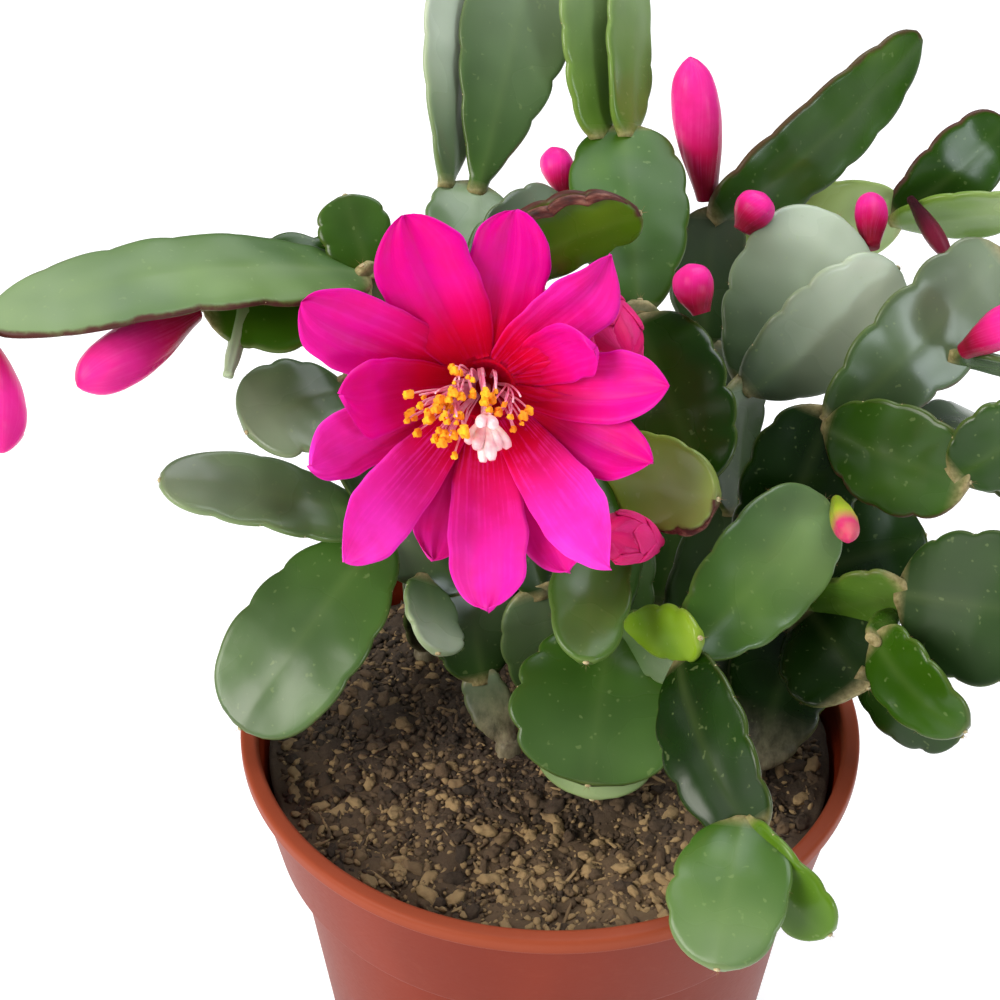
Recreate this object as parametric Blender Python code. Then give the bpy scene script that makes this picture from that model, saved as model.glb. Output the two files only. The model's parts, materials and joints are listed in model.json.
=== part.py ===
"""A potted Easter cactus: a terracotta-coloured plastic nursery pot, its compost, the leafless
plant whose stems are chains of flat pads, its one open flower and its buds.

Lengths are written in millimetres and turned to metres as the meshes are made. +Z is up, the
origin is the middle of the pot's underside, and the plant's open flower looks towards -Y.
"""

import math
from collections import namedtuple

import bmesh
import bpy
from mathutils import Matrix, Vector, noise

MM = 0.001
GAP = 0.3  # clearance between pieces that touch
SLIVER = 1e-12  # a scrap's volume in cubic metres, a thousandth of a cubic millimetre

# Pot, a 10.5 cm nursery pot
POT_HEIGHT = 90.0
RIM_RADIUS = 52.5
LIP_WIDTH = 2.9
LIP_DEPTH = 3.0
COLLAR_TOP_RADIUS = 51.1
COLLAR_FOOT_RADIUS = 47.7
COLLAR_DEPTH = 22.5
BODY_TOP_RADIUS = 45.1
BASE_RADIUS = 37.2
WALL = 1.2
FLOOR = 4.0
CHANNEL_DEPTH = 2.2
CHANNEL_RADII = (13.0, 32.0)
DRAIN_RADIUS = 3.2
DRAIN_COUNT = 6
POT_SIDES = 36

# Compost
SOIL_TOP = 83.0
SOIL_BUMP = 1.3
SOIL_RINGS = 9
SOIL_SIDES = 36
ROOT_DEPTH = 10.0
ROOT_RADIUS = 2.4
ROOT_SIDES = 8
COLLAR_OF_ROOT = 2.6  # how far the round root stands above the compost

# A pad, the flat joint that the stems are made of
NECK_HALF = 1.9
TIP_HALF = 1.4
EDGE_HALF = 0.45
RIB_HALF = 1.35
TIP_RIB_HALF = 0.75
PAD_BLUNTNESS = 2.3
NOTCH = 0.034
LOBES = 4
PAD_ROWS = (0.0, 0.11, 0.25, 0.38, 0.5, 0.62, 0.75, 0.88, 1.0)
SINK = 3.0  # how deep a pad's neck is sunk into the pad that it grows from

# The eye that the plant's front is set out from, as a photographer stands before it
EYE = Vector((-8.4, -233.9, 293.1))
EYE_DIP = math.radians(34.4)
FOCAL = 1800.0
PICTURE_MIDDLE = 500.0
AXIS_DEPTH = 307.7  # from the eye to the middle of the rim, along the sight line
ZENITH = Vector((0.0, 0.0, 1000.0))
EYE_RIGHT = Vector((1.0, 0.0, 0.0))
EYE_UP = Vector((0.0, math.sin(EYE_DIP), math.cos(EYE_DIP)))
EYE_AHEAD = Vector((0.0, math.cos(EYE_DIP), -math.sin(EYE_DIP)))

# shape is below 1 for a pad that is widest towards its foot, and above 1 towards its tip
Pad = namedtuple("Pad", "name parent tip width turn bow side along shape", defaults=(0, 0, 0, 1.0, 1.3))
Stem = namedtuple("Stem", "name root faces pads")
Bud = namedtuple("Bud", "name pad side along tip radius", defaults=(3.6,))
Petal = namedtuple("Petal", "tip width lift pointed", defaults=(0.3,))


def seen(column, row, near):
    """The place that the eye sees at this picture point, near mm before the pot's axis."""
    depth = AXIS_DEPTH - near
    right = (column - PICTURE_MIDDLE) / FOCAL * depth
    up = (PICTURE_MIDDLE - row) / FOCAL * depth
    return EYE + EYE_RIGHT * right + EYE_UP * up + EYE_AHEAD * depth


def place(x, y, z):
    return Vector((x, y, z))


STEMS = (
    Stem("stem_left_arm", (-22, 22), EYE, (
        Pad("a1", None, seen(432, 520, -5), 15, turn=50),
        Pad("a2", "a1", seen(430, 400, 4), 15, turn=20),
        Pad("a3", "a2", seen(362, 266, 24), 12, turn=30),
        Pad("a_long", "a3", seen(-14, 324, 44), 18, turn=48, bow=5, shape=1.0),
        Pad("a_up", "a3", seen(345, 196, 22), 12, turn=15),
        Pad("a_under", "a3", seen(203, 309, 29), 21, turn=32, shape=0.85),
        Pad("a_sprout", "a_under", seen(228, 376, 33), 2.8, side=0.9, along=0.62),
    )),
    Stem("stem_left_low", (-7, -3), EYE, (
        Pad("b1", None, seen(474, 668, 0), 8),
        Pad("b2", "b1", seen(466, 572, 2), 17, turn=20),
        Pad("b3", "b2", seen(374, 520, 8), 13, turn=20),
        Pad("b_droop", "b3", seen(240, 728, 13), 22.5, turn=15, bow=2),
        Pad("b_reach", "b3", seen(160, 480, 22), 15, turn=40, bow=2),
        Pad("b4", "b3", seen(346, 374, 14), 13, turn=25),
        Pad("b_side", "b3", seen(438, 653, 15), 13, turn=-48, side=-0.7, along=0.4),
        Pad("b_tilt", "b4", seen(247, 432, 24), 18.5, turn=30, bow=2),
    )),
    Stem("stem_flower", (3, 4), EYE, (
        Pad("c1", None, seen(538, 583, 7), 17, turn=10),
        Pad("c2", "c1", seen(492, 392, 16), 16, turn=20),
        Pad("c3", "c2", seen(462, 276, 12), 13, turn=20, side=-0.7),
        Pad("c_curl", "c3", seen(640, 213, 20), 18, turn=45, bow=-2, shape=1.1),
        Pad("c_fan", "c3", seen(474, 184, -6), 16, turn=10),
        Pad("c_blade_left", "c_fan", seen(459, -50, -4), 17, turn=52, side=-1, shape=1.6),
        Pad("c_blade_right", "c_fan", seen(535, -64, -8), 22, turn=22, side=0.1, shape=2.0),
        Pad("c_behind", "c3", seen(562, 200, -8), 15, turn=10),
    )),
    Stem("stem_front", (8, -8), EYE, (
        Pad("d1", None, seen(612, 610, 15), 14),
        Pad("d_round", "d1", seen(588, 785, 24), 28, bow=2, shape=1.1),
        Pad("d_round_under", "d1", seen(592, 799, 16), 21),
        Pad("d2", "d1", seen(592, 445, 16), 15, turn=10),
        Pad("d_flap", "d2", seen(586, 662, 36), 13, turn=-10, shape=1.5),
        Pad("d_olive", "d2", seen(718, 499, 32), 15.5, turn=15, shape=1.1),
        Pad("d_young", "d1", seen(700, 638, 34), 9.5, turn=20, side=0.5, shape=1.6),
        Pad("d3", "d1", seen(697, 660, 28), 12, turn=20, side=0.3),
        Pad("d_wing", "d3", seen(825, 500, 15), 19, turn=15, bow=2),
        Pad("d_hang", "d3", seen(757, 838, 42), 17, turn=35, bow=3, shape=1.1),
        Pad("d_lip_left", "d_hang", seen(717, 969, 54), 17.5, turn=10, bow=2, shape=1.1),
        Pad("d_lip_right", "d_hang", seen(830, 934, 49), 12, turn=38, bow=2),
    )),
    Stem("stem_middle", (12, 13), EYE, (
        Pad("e1", None, seen(620, 512, 1), 14, turn=10),
        Pad("e2", "e1", seen(640, 300, 6), 14, turn=10),
        Pad("e_big", "e2", seen(622, 126, -12), 21, turn=5, bow=2),
        Pad("e_dark", "e2", seen(706, 484, 18), 21, turn=10, bow=2, shape=1.0),
        Pad("e_fork_left", "e_big", seen(576, -58, -4), 14, turn=48, side=-0.8, shape=1.0),
        Pad("e_fork_right", "e_big", seen(629, -54, -8), 13, turn=54, side=0.1, shape=1.0),
    )),
    Stem("stem_pale", (23, 14), EYE, (
        Pad("f1", None, seen(735, 498, -8), 15, turn=20),
        Pad("f2", "f1", seen(744, 374, 0), 14, turn=55),
        Pad("f_pale_left", "f2", seen(838, 217, -8), 24, turn=10, bow=2),
        Pad("f_pale_right", "f2", seen(898, 268, 6), 20, turn=30, bow=2),
    )),
    Stem("stem_right", (31, 1), EYE, (
        Pad("g1", None, seen(757, 572, 3), 18, turn=10),
        Pad("g2", "g1", seen(832, 408, 6), 20, turn=10),
        Pad("g_dark", "g1", seen(925, 535, 2), 20, turn=10),
        Pad("g_gloss", "g2", seen(1004, 252, 6), 20, turn=25, bow=2),
        Pad("g_shelf", "g2", seen(970, 482, 20), 18.5, turn=20, bow=2),
        Pad("g_edge", "g_shelf", seen(1045, 418, 26), 16, turn=30),
        Pad("g_thin", "g_gloss", seen(1050, 372, 10), 14, turn=78, side=0.8, along=0.55),
    )),
    Stem("stem_back", (20, 22), EYE, (
        Pad("h1", None, seen(690, 470, -18), 16),
        Pad("h2", "h1", seen(705, 335, -18), 14),
        Pad("h3", "h2", seen(713, 207, -18), 14),
        Pad("h_spear", "h3", seen(919, 36, -20), 16.5, turn=36, bow=3, shape=0.85),
        Pad("h_light", "h3", seen(903, 220, -36), 17, turn=18),
        Pad("h_up", "h_light", seen(1006, 121, -30), 15.5, turn=22, bow=2),
        Pad("h_out", "h_light", seen(1032, 206, -24), 15, turn=58),
    )),
    Stem("stem_right_low", (34, -10), EYE, (
        Pad("m1", None, seen(812, 590, 7), 18),
        Pad("m2", "m1", seen(912, 590, 22), 14, turn=46),
        Pad("m_disc", "m2", seen(1048, 614, 32), 25, turn=5, bow=2),
        Pad("m_stalk", "m2", seen(873, 640, 29), 5, along=0.7, side=0.9),
        Pad("m_tongue", "m_stalk", seen(965, 731, 36), 13, turn=35, bow=2, shape=0.9),
        Pad("m3", "m1", seen(868, 688, 16), 22),
        Pad("m_low", "m3", seen(962, 736, 20), 16, turn=40),
    )),
    Stem("stem_rear_left", (-10, 34), ZENITH, (
        Pad("n1", None, place(-14, 52, 108), 17),
        Pad("n2", "n1", place(-6, 74, 122), 19, bow=2),
        Pad("n3", "n2", place(-22, 96, 112), 20, bow=3),
        Pad("n4", "n2", place(10, 98, 114), 20, bow=3),
    )),
    Stem("stem_rear_middle", (14, 34), ZENITH, (
        Pad("o1", None, place(20, 56, 108), 17),
        Pad("o2", "o1", place(30, 80, 116), 19, bow=2),
        Pad("o3", "o2", place(24, 106, 104), 20, bow=3),
        Pad("o4", "o2", place(50, 98, 108), 20, bow=3),
    )),
    Stem("stem_rear_right", (34, 24), ZENITH, (
        Pad("p1", None, place(48, 33, 108), 17),
        Pad("p2", "p1", place(72, 48, 113), 19, bow=2),
        Pad("p3", "p2", place(92, 64, 104), 20, bow=3),
        Pad("p4", "p2", place(96, 38, 106), 20, bow=3),
    )),
)

BUDS = (
    Bud("bud_far_left", "a_long", 0.8, 1, seen(4, 452, 52), 5.2),
    Bud("bud_left", "a_under", 0, 1, seen(78, 386, 44), 4.5),
    Bud("bud_top_left", "c_behind", 0, 1, seen(551, 147, -8), 3.0),
    Bud("bud_tall", "h3", -1.4, 1, seen(690, 57, -6), 4.5),
    Bud("bud_round_upper", "f_pale_left", -0.9, 0.66, seen(764, 193, -2), 3.6),
    Bud("bud_round_lower", "e_dark", -0.95, 0.16, seen(688, 264, 12), 3.5),
    Bud("bud_beside_flower", "c_curl", 0.9, 0.48, seen(631, 356, 31), 4.8),
    Bud("bud_under_flower", "d_olive", 0.9, 0.55, seen(606, 534, 47), 3.8),
    Bud("bud_green", "d_wing", 1.8, 1, seen(850, 538, 34), 2.2),
    Bud("bud_right_joint", "f_pale_left", 0.9, 0.96, seen(870, 194, -14), 3.0),
    Bud("bud_small", "h_out", -0.9, 0.2, seen(948, 256, -8), 1.8),
    Bud("bud_far_right", "g_thin", -0.9, 0.15, seen(1030, 310, 24), 3.4),
)
BUD_PROFILE = ((0.0, 0.42), (0.14, 0.58), (0.35, 0.86), (0.58, 1.0), (0.8, 0.9), (0.93, 0.62), (1.0, 0.2))
BUD_SIDES = 8
BUD_FLUTE = 0.05
BUD_TWIST = 0.9
BUD_STANDOFF = 0.2

# The open flower
FLOWER_PAD = "c2"
THROAT = seen(484, 390, 33)
FACE = seen(486, 412, 52)
TUBE_RADIUS = 5.0
TUBE_WALL = 0.75
OVARY_RADIUS = 3.3
TUBE_NECK = 2.3
CUP_DEPTH = 7.0
PETAL_HALF = 0.4
PETAL_RIB_HALF = 0.5
PETAL_ROOT = 0.48  # a petal's width at its root, as a share of its greatest width
PETAL_WIDEST = 0.66
PETAL_ROWS = (0.0, 0.22, 0.45, 0.66, 0.82, 0.94, 1.0)
FILAMENT_RADIUS = 0.42
ANTHER_RADIUS = 0.85
STYLE_RADIUS = 0.8
LOBE_RADIUS = 0.8

PETALS = (
    Petal(seen(406, 216, 47), 14.5, 0.46, 0.4),
    Petal(seen(513, 212, 45), 12.5, 0.46, 0.3),
    Petal(seen(607, 252, 47), 11.0, 0.48, 0.8),
    Petal(seen(600, 342, 49), 9.5, 0.40, 0.2),
    Petal(seen(672, 387, 46), 10.8, 0.42, 0.7),
    Petal(seen(654, 464, 44), 10.5, 0.38, 0.7),
    Petal(seen(603, 563, 54), 11.0, 0.45, 1.0),
    Petal(seen(568, 568, 44), 11.0, 0.22, 0.2),
    Petal(seen(487, 601, 50), 11.8, 0.38, 0.0),
    Petal(seen(434, 557, 42), 9.0, 0.22, 0.2),
    Petal(seen(350, 560, 56), 10.5, 0.45, 0.4),
    Petal(seen(371, 512, 45), 7.0, 0.30, 0.6),
    Petal(seen(304, 465, 50), 10.0, 0.38, 0.2),
    Petal(seen(331, 396, 52), 11.5, 0.45, 1.0),
    Petal(seen(304, 297, 48), 12.5, 0.44, 0.2),
)

ANTHERS = (
    seen(459, 373, 48),
    seen(464, 386, 50),
    seen(455, 395, 51),
    seen(444, 397, 48),
    seen(437, 406, 49),
    seen(424, 407, 46),
    seen(430, 416, 48),
    seen(420, 420, 45),
    seen(452, 418, 51),
    seen(461, 427, 52),
    seen(445, 432, 50),
    seen(436, 439, 48),
    seen(447, 443, 50),
    seen(479, 391, 50),
    seen(491, 399, 51),
    seen(499, 408, 50),
    seen(510, 413, 49),
    seen(515, 421, 49),
)

STIGMA = seen(486, 419, 48)
STIGMA_LOBES = (
    seen(467, 443, 50),
    seen(476, 449, 51),
    seen(483, 462, 50),
    seen(492, 460, 51),
    seen(499, 450, 50),
    seen(509, 448, 49),
    seen(480, 424, 54),
    seen(494, 426, 54),
)

GREEN = (0.055, 0.16, 0.035, 1.0)
MAGENTA = (0.85, 0.01, 0.30, 1.0)
BUD_PINK = (0.78, 0.03, 0.22, 1.0)
ORANGE = (0.95, 0.42, 0.02, 1.0)
PALE_PINK = (0.95, 0.72, 0.70, 1.0)
TERRACOTTA = (0.50, 0.10, 0.055, 1.0)
COMPOST = (0.06, 0.045, 0.035, 1.0)


def clear_scene():
    for obj in list(bpy.data.objects):
        bpy.data.objects.remove(obj)


def material(name, colour, roughness):
    made = bpy.data.materials.new(name)
    made.use_nodes = True
    shader = made.node_tree.nodes["Principled BSDF"]
    shader.inputs["Base Color"].default_value = colour
    shader.inputs["Roughness"].default_value = roughness
    shader.inputs["Metallic"].default_value = 0.0
    made.diffuse_color = colour
    return made


def object_of(name, bm, finish=None, smooth=True):
    """A linked object from a bmesh drawn in millimetres."""
    mesh = bpy.data.meshes.new(name)
    bmesh.ops.scale(bm, vec=(MM, MM, MM), verts=bm.verts)
    bm.to_mesh(mesh)
    bm.free()
    if smooth:
        mesh.shade_smooth()
        mesh.set_sharp_from_angle(angle=math.radians(35))
    obj = bpy.data.objects.new(name, mesh)
    bpy.context.scene.collection.objects.link(obj)
    if finish:
        mesh.materials.append(finish)
    return obj


def boolean_with(obj, others, operation, solver="EXACT"):
    """obj joined to, or cut by, every mesh in others, which are then removed."""
    group = bpy.data.collections.new(obj.name + "_parts")
    bpy.context.scene.collection.children.link(group)
    for other in others:
        bpy.context.scene.collection.objects.unlink(other)
        group.objects.link(other)
    step = obj.modifiers.new(operation.title(), "BOOLEAN")
    step.operation = operation
    step.solver = solver
    step.operand_type = "COLLECTION"
    step.collection = group
    graph = bpy.context.evaluated_depsgraph_get()
    whole = bpy.data.meshes.new_from_object(obj.evaluated_get(graph))
    obj.modifiers.clear()
    obj.data = whole
    for other in others:
        bpy.data.objects.remove(other)
    bpy.data.collections.remove(group)
    return obj


def fill_hollows(mesh):
    """Drops the inward-facing shells and the slivers that a union leaves where its pieces meet."""
    bm = bmesh.new()
    bm.from_mesh(mesh)
    unseen = set(bm.faces)
    while unseen:
        shell, front = set(), [unseen.pop()]
        while front:
            face = front.pop()
            shell.add(face)
            for edge in face.edges:
                for other in edge.link_faces:
                    if other in unseen:
                        unseen.remove(other)
                        front.append(other)
        volume = 0.0
        for face in shell:
            first, *rest = [vert.co for vert in face.verts]
            for a, b in zip(rest, rest[1:]):
                volume += first.dot(a.cross(b)) / 6
        if volume < SLIVER:
            corners = {vert for face in shell for vert in face.verts}
            bmesh.ops.delete(bm, geom=list(corners), context="VERTS")
    bm.to_mesh(mesh)
    bm.free()


def fused(name, meshes, finish):
    """One object from closed bmeshes that reach into one another."""
    first, *others = [object_of(name if i == 0 else f"{name}_{i}", bm) for i, bm in enumerate(meshes)]
    if others:
        boolean_with(first, others, "UNION", "MANIFOLD")
        fill_hollows(first.data)
    first.data.materials.clear()
    first.data.materials.append(finish)
    return first


def loft(sections):
    """A closed skin over rings of points, split alike on both faces, with a fan at each end."""
    bm = bmesh.new()
    rings = [[bm.verts.new(point) for point in ring] for ring in sections]
    count = len(rings[0])
    for low, high in zip(rings, rings[1:]):
        for i in range(count):
            j = (i + 1) % count
            if i < count // 2:
                bm.faces.new((low[i], low[j], high[i]))
                bm.faces.new((low[j], high[j], high[i]))
            else:
                bm.faces.new((low[i], low[j], high[j]))
                bm.faces.new((low[i], high[j], high[i]))
    for ring, ahead in ((rings[0], -1), (rings[-1], 1)):
        fan = ring[1:] + ring[:1]
        for a, b in zip(fan[1:], fan[2:]):
            bm.faces.new((fan[0], a, b)[::ahead])
    return facing_out(bm)


def facing_out(bm):
    bmesh.ops.recalc_face_normals(bm, faces=bm.faces)
    if bm.calc_volume(signed=True) < 0:
        bmesh.ops.reverse_faces(bm, faces=bm.faces)
    return bm


def turned(profile, sides):
    """A closed body of revolution about Z from an outline of (radius, height), ends on the axis."""
    bm = bmesh.new()
    rings = []
    for radius, height in profile:
        if radius < 1e-6:
            rings.append([bm.verts.new((0, 0, height))] * sides)
            continue
        angles = [2 * math.pi * i / sides for i in range(sides)]
        rings.append([bm.verts.new((radius * math.cos(a), radius * math.sin(a), height)) for a in angles])
    for low, high in zip(rings, rings[1:]):
        for i in range(sides):
            j = (i + 1) % sides
            corners = list(dict.fromkeys((low[i], low[j], high[j], high[i])))
            if len(corners) > 2:
                bm.faces.new(corners)
    return facing_out(bm)


def cylinder(x, y, radius, low, high, sides):
    bm = turned(((0, low), (radius, low), (radius, high), (0, high)), sides)
    bmesh.ops.translate(bm, vec=(x, y, 0), verts=bm.verts)
    return bm


def stand_on(bm, foot, direction):
    """Turns a body drawn along Z to point along direction, with its foot at foot."""
    turn = direction.to_track_quat("Z", "Y").to_matrix().to_4x4()
    bmesh.ops.transform(bm, matrix=Matrix.Translation(foot) @ turn, verts=bm.verts)
    return bm


def body_slope():
    return (BODY_TOP_RADIUS - BASE_RADIUS) / (POT_HEIGHT - COLLAR_DEPTH)


def pot():
    collar_foot = POT_HEIGHT - COLLAR_DEPTH
    lip_foot = POT_HEIGHT - LIP_DEPTH
    inner_lip = RIM_RADIUS - LIP_WIDTH
    inner, outer = CHANNEL_RADII
    profile = (
        (0, 0),
        (inner - 1.5, 0),
        (inner, CHANNEL_DEPTH),
        (outer, CHANNEL_DEPTH),
        (outer + 1.2, 0),
        (BASE_RADIUS - 0.8, 0),
        (BASE_RADIUS, 0.8),
        (BODY_TOP_RADIUS, collar_foot),
        (COLLAR_FOOT_RADIUS - 0.5, collar_foot + 0.6),
        (COLLAR_FOOT_RADIUS, collar_foot + 1.4),
        (COLLAR_TOP_RADIUS, lip_foot),
        (RIM_RADIUS, lip_foot + 0.8),
        (RIM_RADIUS, POT_HEIGHT - 0.8),
        (RIM_RADIUS - 0.8, POT_HEIGHT),
        (inner_lip + 0.7, POT_HEIGHT),
        (inner_lip, POT_HEIGHT - 0.8),
        (COLLAR_TOP_RADIUS - WALL - 0.3, lip_foot - 1),
        (COLLAR_FOOT_RADIUS - WALL, collar_foot + 1.4),
        (BODY_TOP_RADIUS - WALL, collar_foot - 0.6),
        (BASE_RADIUS - WALL + FLOOR * body_slope(), FLOOR),
        (0, FLOOR),
    )
    made = object_of("pot", turned(profile, POT_SIDES), material("pot plastic", TERRACOTTA, 0.42))
    drain_circle = sum(CHANNEL_RADII) / 2
    drains = []
    for i in range(DRAIN_COUNT):
        angle = 2 * math.pi * (i + 0.5) / DRAIN_COUNT
        x, y = drain_circle * math.cos(angle), drain_circle * math.sin(angle)
        drains.append(object_of(f"drain_{i}", cylinder(x, y, DRAIN_RADIUS, -2, FLOOR + 2, 12)))
    return boolean_with(made, drains, "DIFFERENCE")


def soil_height(x, y):
    """Lumps of bark and peat, a few millimetres across, level with the wall at the edge."""
    coarse = noise.noise(Vector((x * 0.11, y * 0.11, 3.0)))
    fine = noise.noise(Vector((x * 0.27, y * 0.27, 7.0)))
    return SOIL_TOP + SOIL_BUMP * (coarse + 0.7 * fine)


def soil():
    """Compost that fills the pot to just under its lip, with a plain hole for each stem."""
    collar_foot = POT_HEIGHT - COLLAR_DEPTH
    low = FLOOR + GAP
    foot_radius = BASE_RADIUS - WALL + low * body_slope() - GAP - 0.1
    waist_radius = BODY_TOP_RADIUS - WALL - GAP - 0.1
    shoulder_radius = COLLAR_FOOT_RADIUS - WALL - GAP - 0.2
    slope = (COLLAR_TOP_RADIUS - COLLAR_FOOT_RADIUS) / (COLLAR_DEPTH - LIP_DEPTH)
    top_radius = shoulder_radius + slope * (SOIL_TOP - collar_foot - 1.4) - 0.4
    walls = (
        (foot_radius, low),
        (waist_radius, collar_foot + 0.1),
        (shoulder_radius, collar_foot + 2.6),
    )
    bm = bmesh.new()
    angles = [2 * math.pi * i / SOIL_SIDES for i in range(SOIL_SIDES)]
    rings = [[bm.verts.new((0, 0, low))] * SOIL_SIDES]
    for radius, height in walls:
        rings.append([bm.verts.new((radius * math.cos(a), radius * math.sin(a), height)) for a in angles])
    for k in range(SOIL_RINGS, 0, -1):
        radius = top_radius * k / SOIL_RINGS
        ring = []
        for i, a in enumerate(angles):
            a += (k % 2) * math.pi / SOIL_SIDES if k < SOIL_RINGS else 0
            x, y = radius * math.cos(a), radius * math.sin(a)
            ring.append(bm.verts.new((x, y, soil_height(x, y))))
        rings.append(ring)
    rings.append([bm.verts.new((0, 0, soil_height(0, 0)))] * SOIL_SIDES)
    for ring, following in zip(rings, rings[1:]):
        for i in range(SOIL_SIDES):
            j = (i + 1) % SOIL_SIDES
            for corners in ((ring[i], ring[j], following[i]), (ring[j], following[j], following[i])):
                corners = list(dict.fromkeys(corners))
                if len(corners) > 2:
                    bm.faces.new(corners)
    made = object_of("soil", facing_out(bm), material("compost", COMPOST, 0.95), smooth=False)
    holes = []
    for stem in STEMS:
        x, y = stem.root
        low, high = SOIL_TOP - ROOT_DEPTH - GAP, SOIL_TOP + 9
        bore = cylinder(x, y, ROOT_RADIUS + GAP + 0.1, low, high, ROOT_SIDES)
        holes.append(object_of("hole_of_" + stem.name, bore))
    return boolean_with(made, holes, "DIFFERENCE")


def pad_half(t, width, shape):
    """Half the pad's width at t of its length: a blunt oval with scalloped edges."""
    oval = max(0.0, 1 - abs(2 * t ** shape - 1) ** PAD_BLUNTNESS) ** (1 / PAD_BLUNTNESS)
    scallop = 1 - NOTCH * 2 * (1 - abs(math.sin(math.pi * LOBES * t)) ** 0.6)
    end = NECK_HALF if t < 0.5 else TIP_HALF
    return max(width / 2 * oval * scallop, min(end, width / 2 * 0.6))


class Blade:
    """Where a pad lies: its spine, its face's direction and its width."""

    def __init__(self, base, pad, faces):
        tip, turn = pad.tip, pad.turn
        self.base, self.tip, self.width, self.bow, self.shape = base, tip, pad.width, pad.bow, pad.shape
        self.axis = (tip - base).normalized()
        towards = (faces - (base + tip) / 2).normalized()
        facing = (towards - self.axis * towards.dot(self.axis)).normalized()
        self.face = Matrix.Rotation(math.radians(turn), 3, self.axis) @ facing
        self.cross = self.axis.cross(self.face)

    def spine(self, t):
        return self.base.lerp(self.tip, t) + self.face * (self.bow * 4 * t * (1 - t))

    def edge(self, t, side):
        return self.spine(t) + self.cross * (side * pad_half(t, self.width, self.shape))


def pad_mesh(blade):
    sections = []
    for t in PAD_ROWS:
        half = pad_half(t, blade.width, blade.shape)
        rib = RIB_HALF + (TIP_RIB_HALF - RIB_HALF) * t
        middle, across, up = blade.spine(t), blade.cross * half, blade.face
        sections.append((
            middle - across + up * EDGE_HALF,
            middle + up * rib,
            middle + across + up * EDGE_HALF,
            middle + across - up * EDGE_HALF,
            middle - up * rib,
            middle - across - up * EDGE_HALF,
        ))
    return loft(sections)


def blades_of(stem):
    """Every pad of a stem laid out, each with its neck sunk into the pad that it grows from."""
    laid = {}
    foot = Vector((*stem.root, SOIL_TOP + COLLAR_OF_ROOT - 1.0))
    for pad in stem.pads:
        if pad.parent is None:
            base = foot
        elif pad.along < 1:
            base = laid[pad.parent].edge(pad.along, pad.side * 0.75)
        else:
            parent = laid[pad.parent]
            sunk = 1 - SINK / (parent.tip - parent.base).length
            base = parent.edge(sunk, pad.side * 0.8)
        laid[pad.name] = Blade(base, pad, stem.faces)
    return laid


def plant_stem(stem, blades, finish):
    x, y = stem.root
    root = cylinder(x, y, ROOT_RADIUS, SOIL_TOP - ROOT_DEPTH, SOIL_TOP + COLLAR_OF_ROOT, ROOT_SIDES)
    return fused(stem.name, [root] + [pad_mesh(blade) for blade in blades.values()], finish)


def bud_mesh(length, radius):
    """A furled bud: five petals wrapped round one another in a slow twist."""
    sections = []
    for t, share in BUD_PROFILE:
        ring = []
        for i in range(BUD_SIDES):
            angle = 2 * math.pi * i / BUD_SIDES + BUD_TWIST * t
            flute = 1 + (BUD_FLUTE if i % 2 else -BUD_FLUTE)
            r = radius * share * flute
            ring.append((r * math.cos(angle), r * math.sin(angle), length * t))
        sections.append(ring)
    return loft(sections)


def bud(spec, blades, finish):
    """A bud that stands off its pad's edge by the clearance, however it leans."""
    parent = blades[spec.pad]
    if spec.along >= 1:
        rest = parent.tip + parent.cross * (spec.side * TIP_HALF * 0.6)
        outward = parent.axis
    else:
        rest = parent.edge(spec.along, math.copysign(1, spec.side))
        outward = parent.cross * math.copysign(1, spec.side)
    lean = (spec.tip - rest).normalized()
    foot_radius = spec.radius * BUD_PROFILE[0][1] * (1 + BUD_FLUTE)
    slant = math.sqrt(max(0.0, 1 - min(1.0, max(0.0, lean.dot(outward))) ** 2))
    foot = rest + outward * (GAP + BUD_STANDOFF + foot_radius * slant)
    along = spec.tip - foot
    body = stand_on(bud_mesh(along.length, spec.radius), foot, along.normalized())
    return object_of(spec.name, body, finish)


def flower_axis():
    return (FACE - THROAT).normalized()


def tube_mesh(foot, mouth):
    """The short tube: the ovary at its foot, a waist, and a cup that the petals crown."""
    length = (mouth - foot).length
    floor = length - CUP_DEPTH
    profile = (
        (0, 0),
        (TUBE_NECK * 0.8, 0),
        (OVARY_RADIUS, length * 0.2),
        (TUBE_NECK * 1.1, length * 0.42),
        (TUBE_RADIUS * 0.85, length - CUP_DEPTH * 0.5),
        (TUBE_RADIUS + 0.6, length + 0.6),
        (TUBE_RADIUS - TUBE_WALL + 0.4, length + 0.6),
        (TUBE_RADIUS * 0.85 - TUBE_WALL, length - CUP_DEPTH * 0.5),
        (TUBE_RADIUS * 0.5, floor + 0.4),
        (0, floor),
    )
    return stand_on(turned(profile, 12), foot, (mouth - foot).normalized())


def petal_share(t, pointed):
    """The petal's width at t of its length, as a share of its greatest width."""
    if t < PETAL_WIDEST:
        return PETAL_ROOT + (1 - PETAL_ROOT) * math.sin(math.pi / 2 * t / PETAL_WIDEST)
    reach = (t - PETAL_WIDEST) / (1 - PETAL_WIDEST)
    return max(0.12, max(0.0, 1 - reach ** (2.4 - 0.8 * pointed)) ** (0.55 + 0.4 * pointed))


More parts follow.
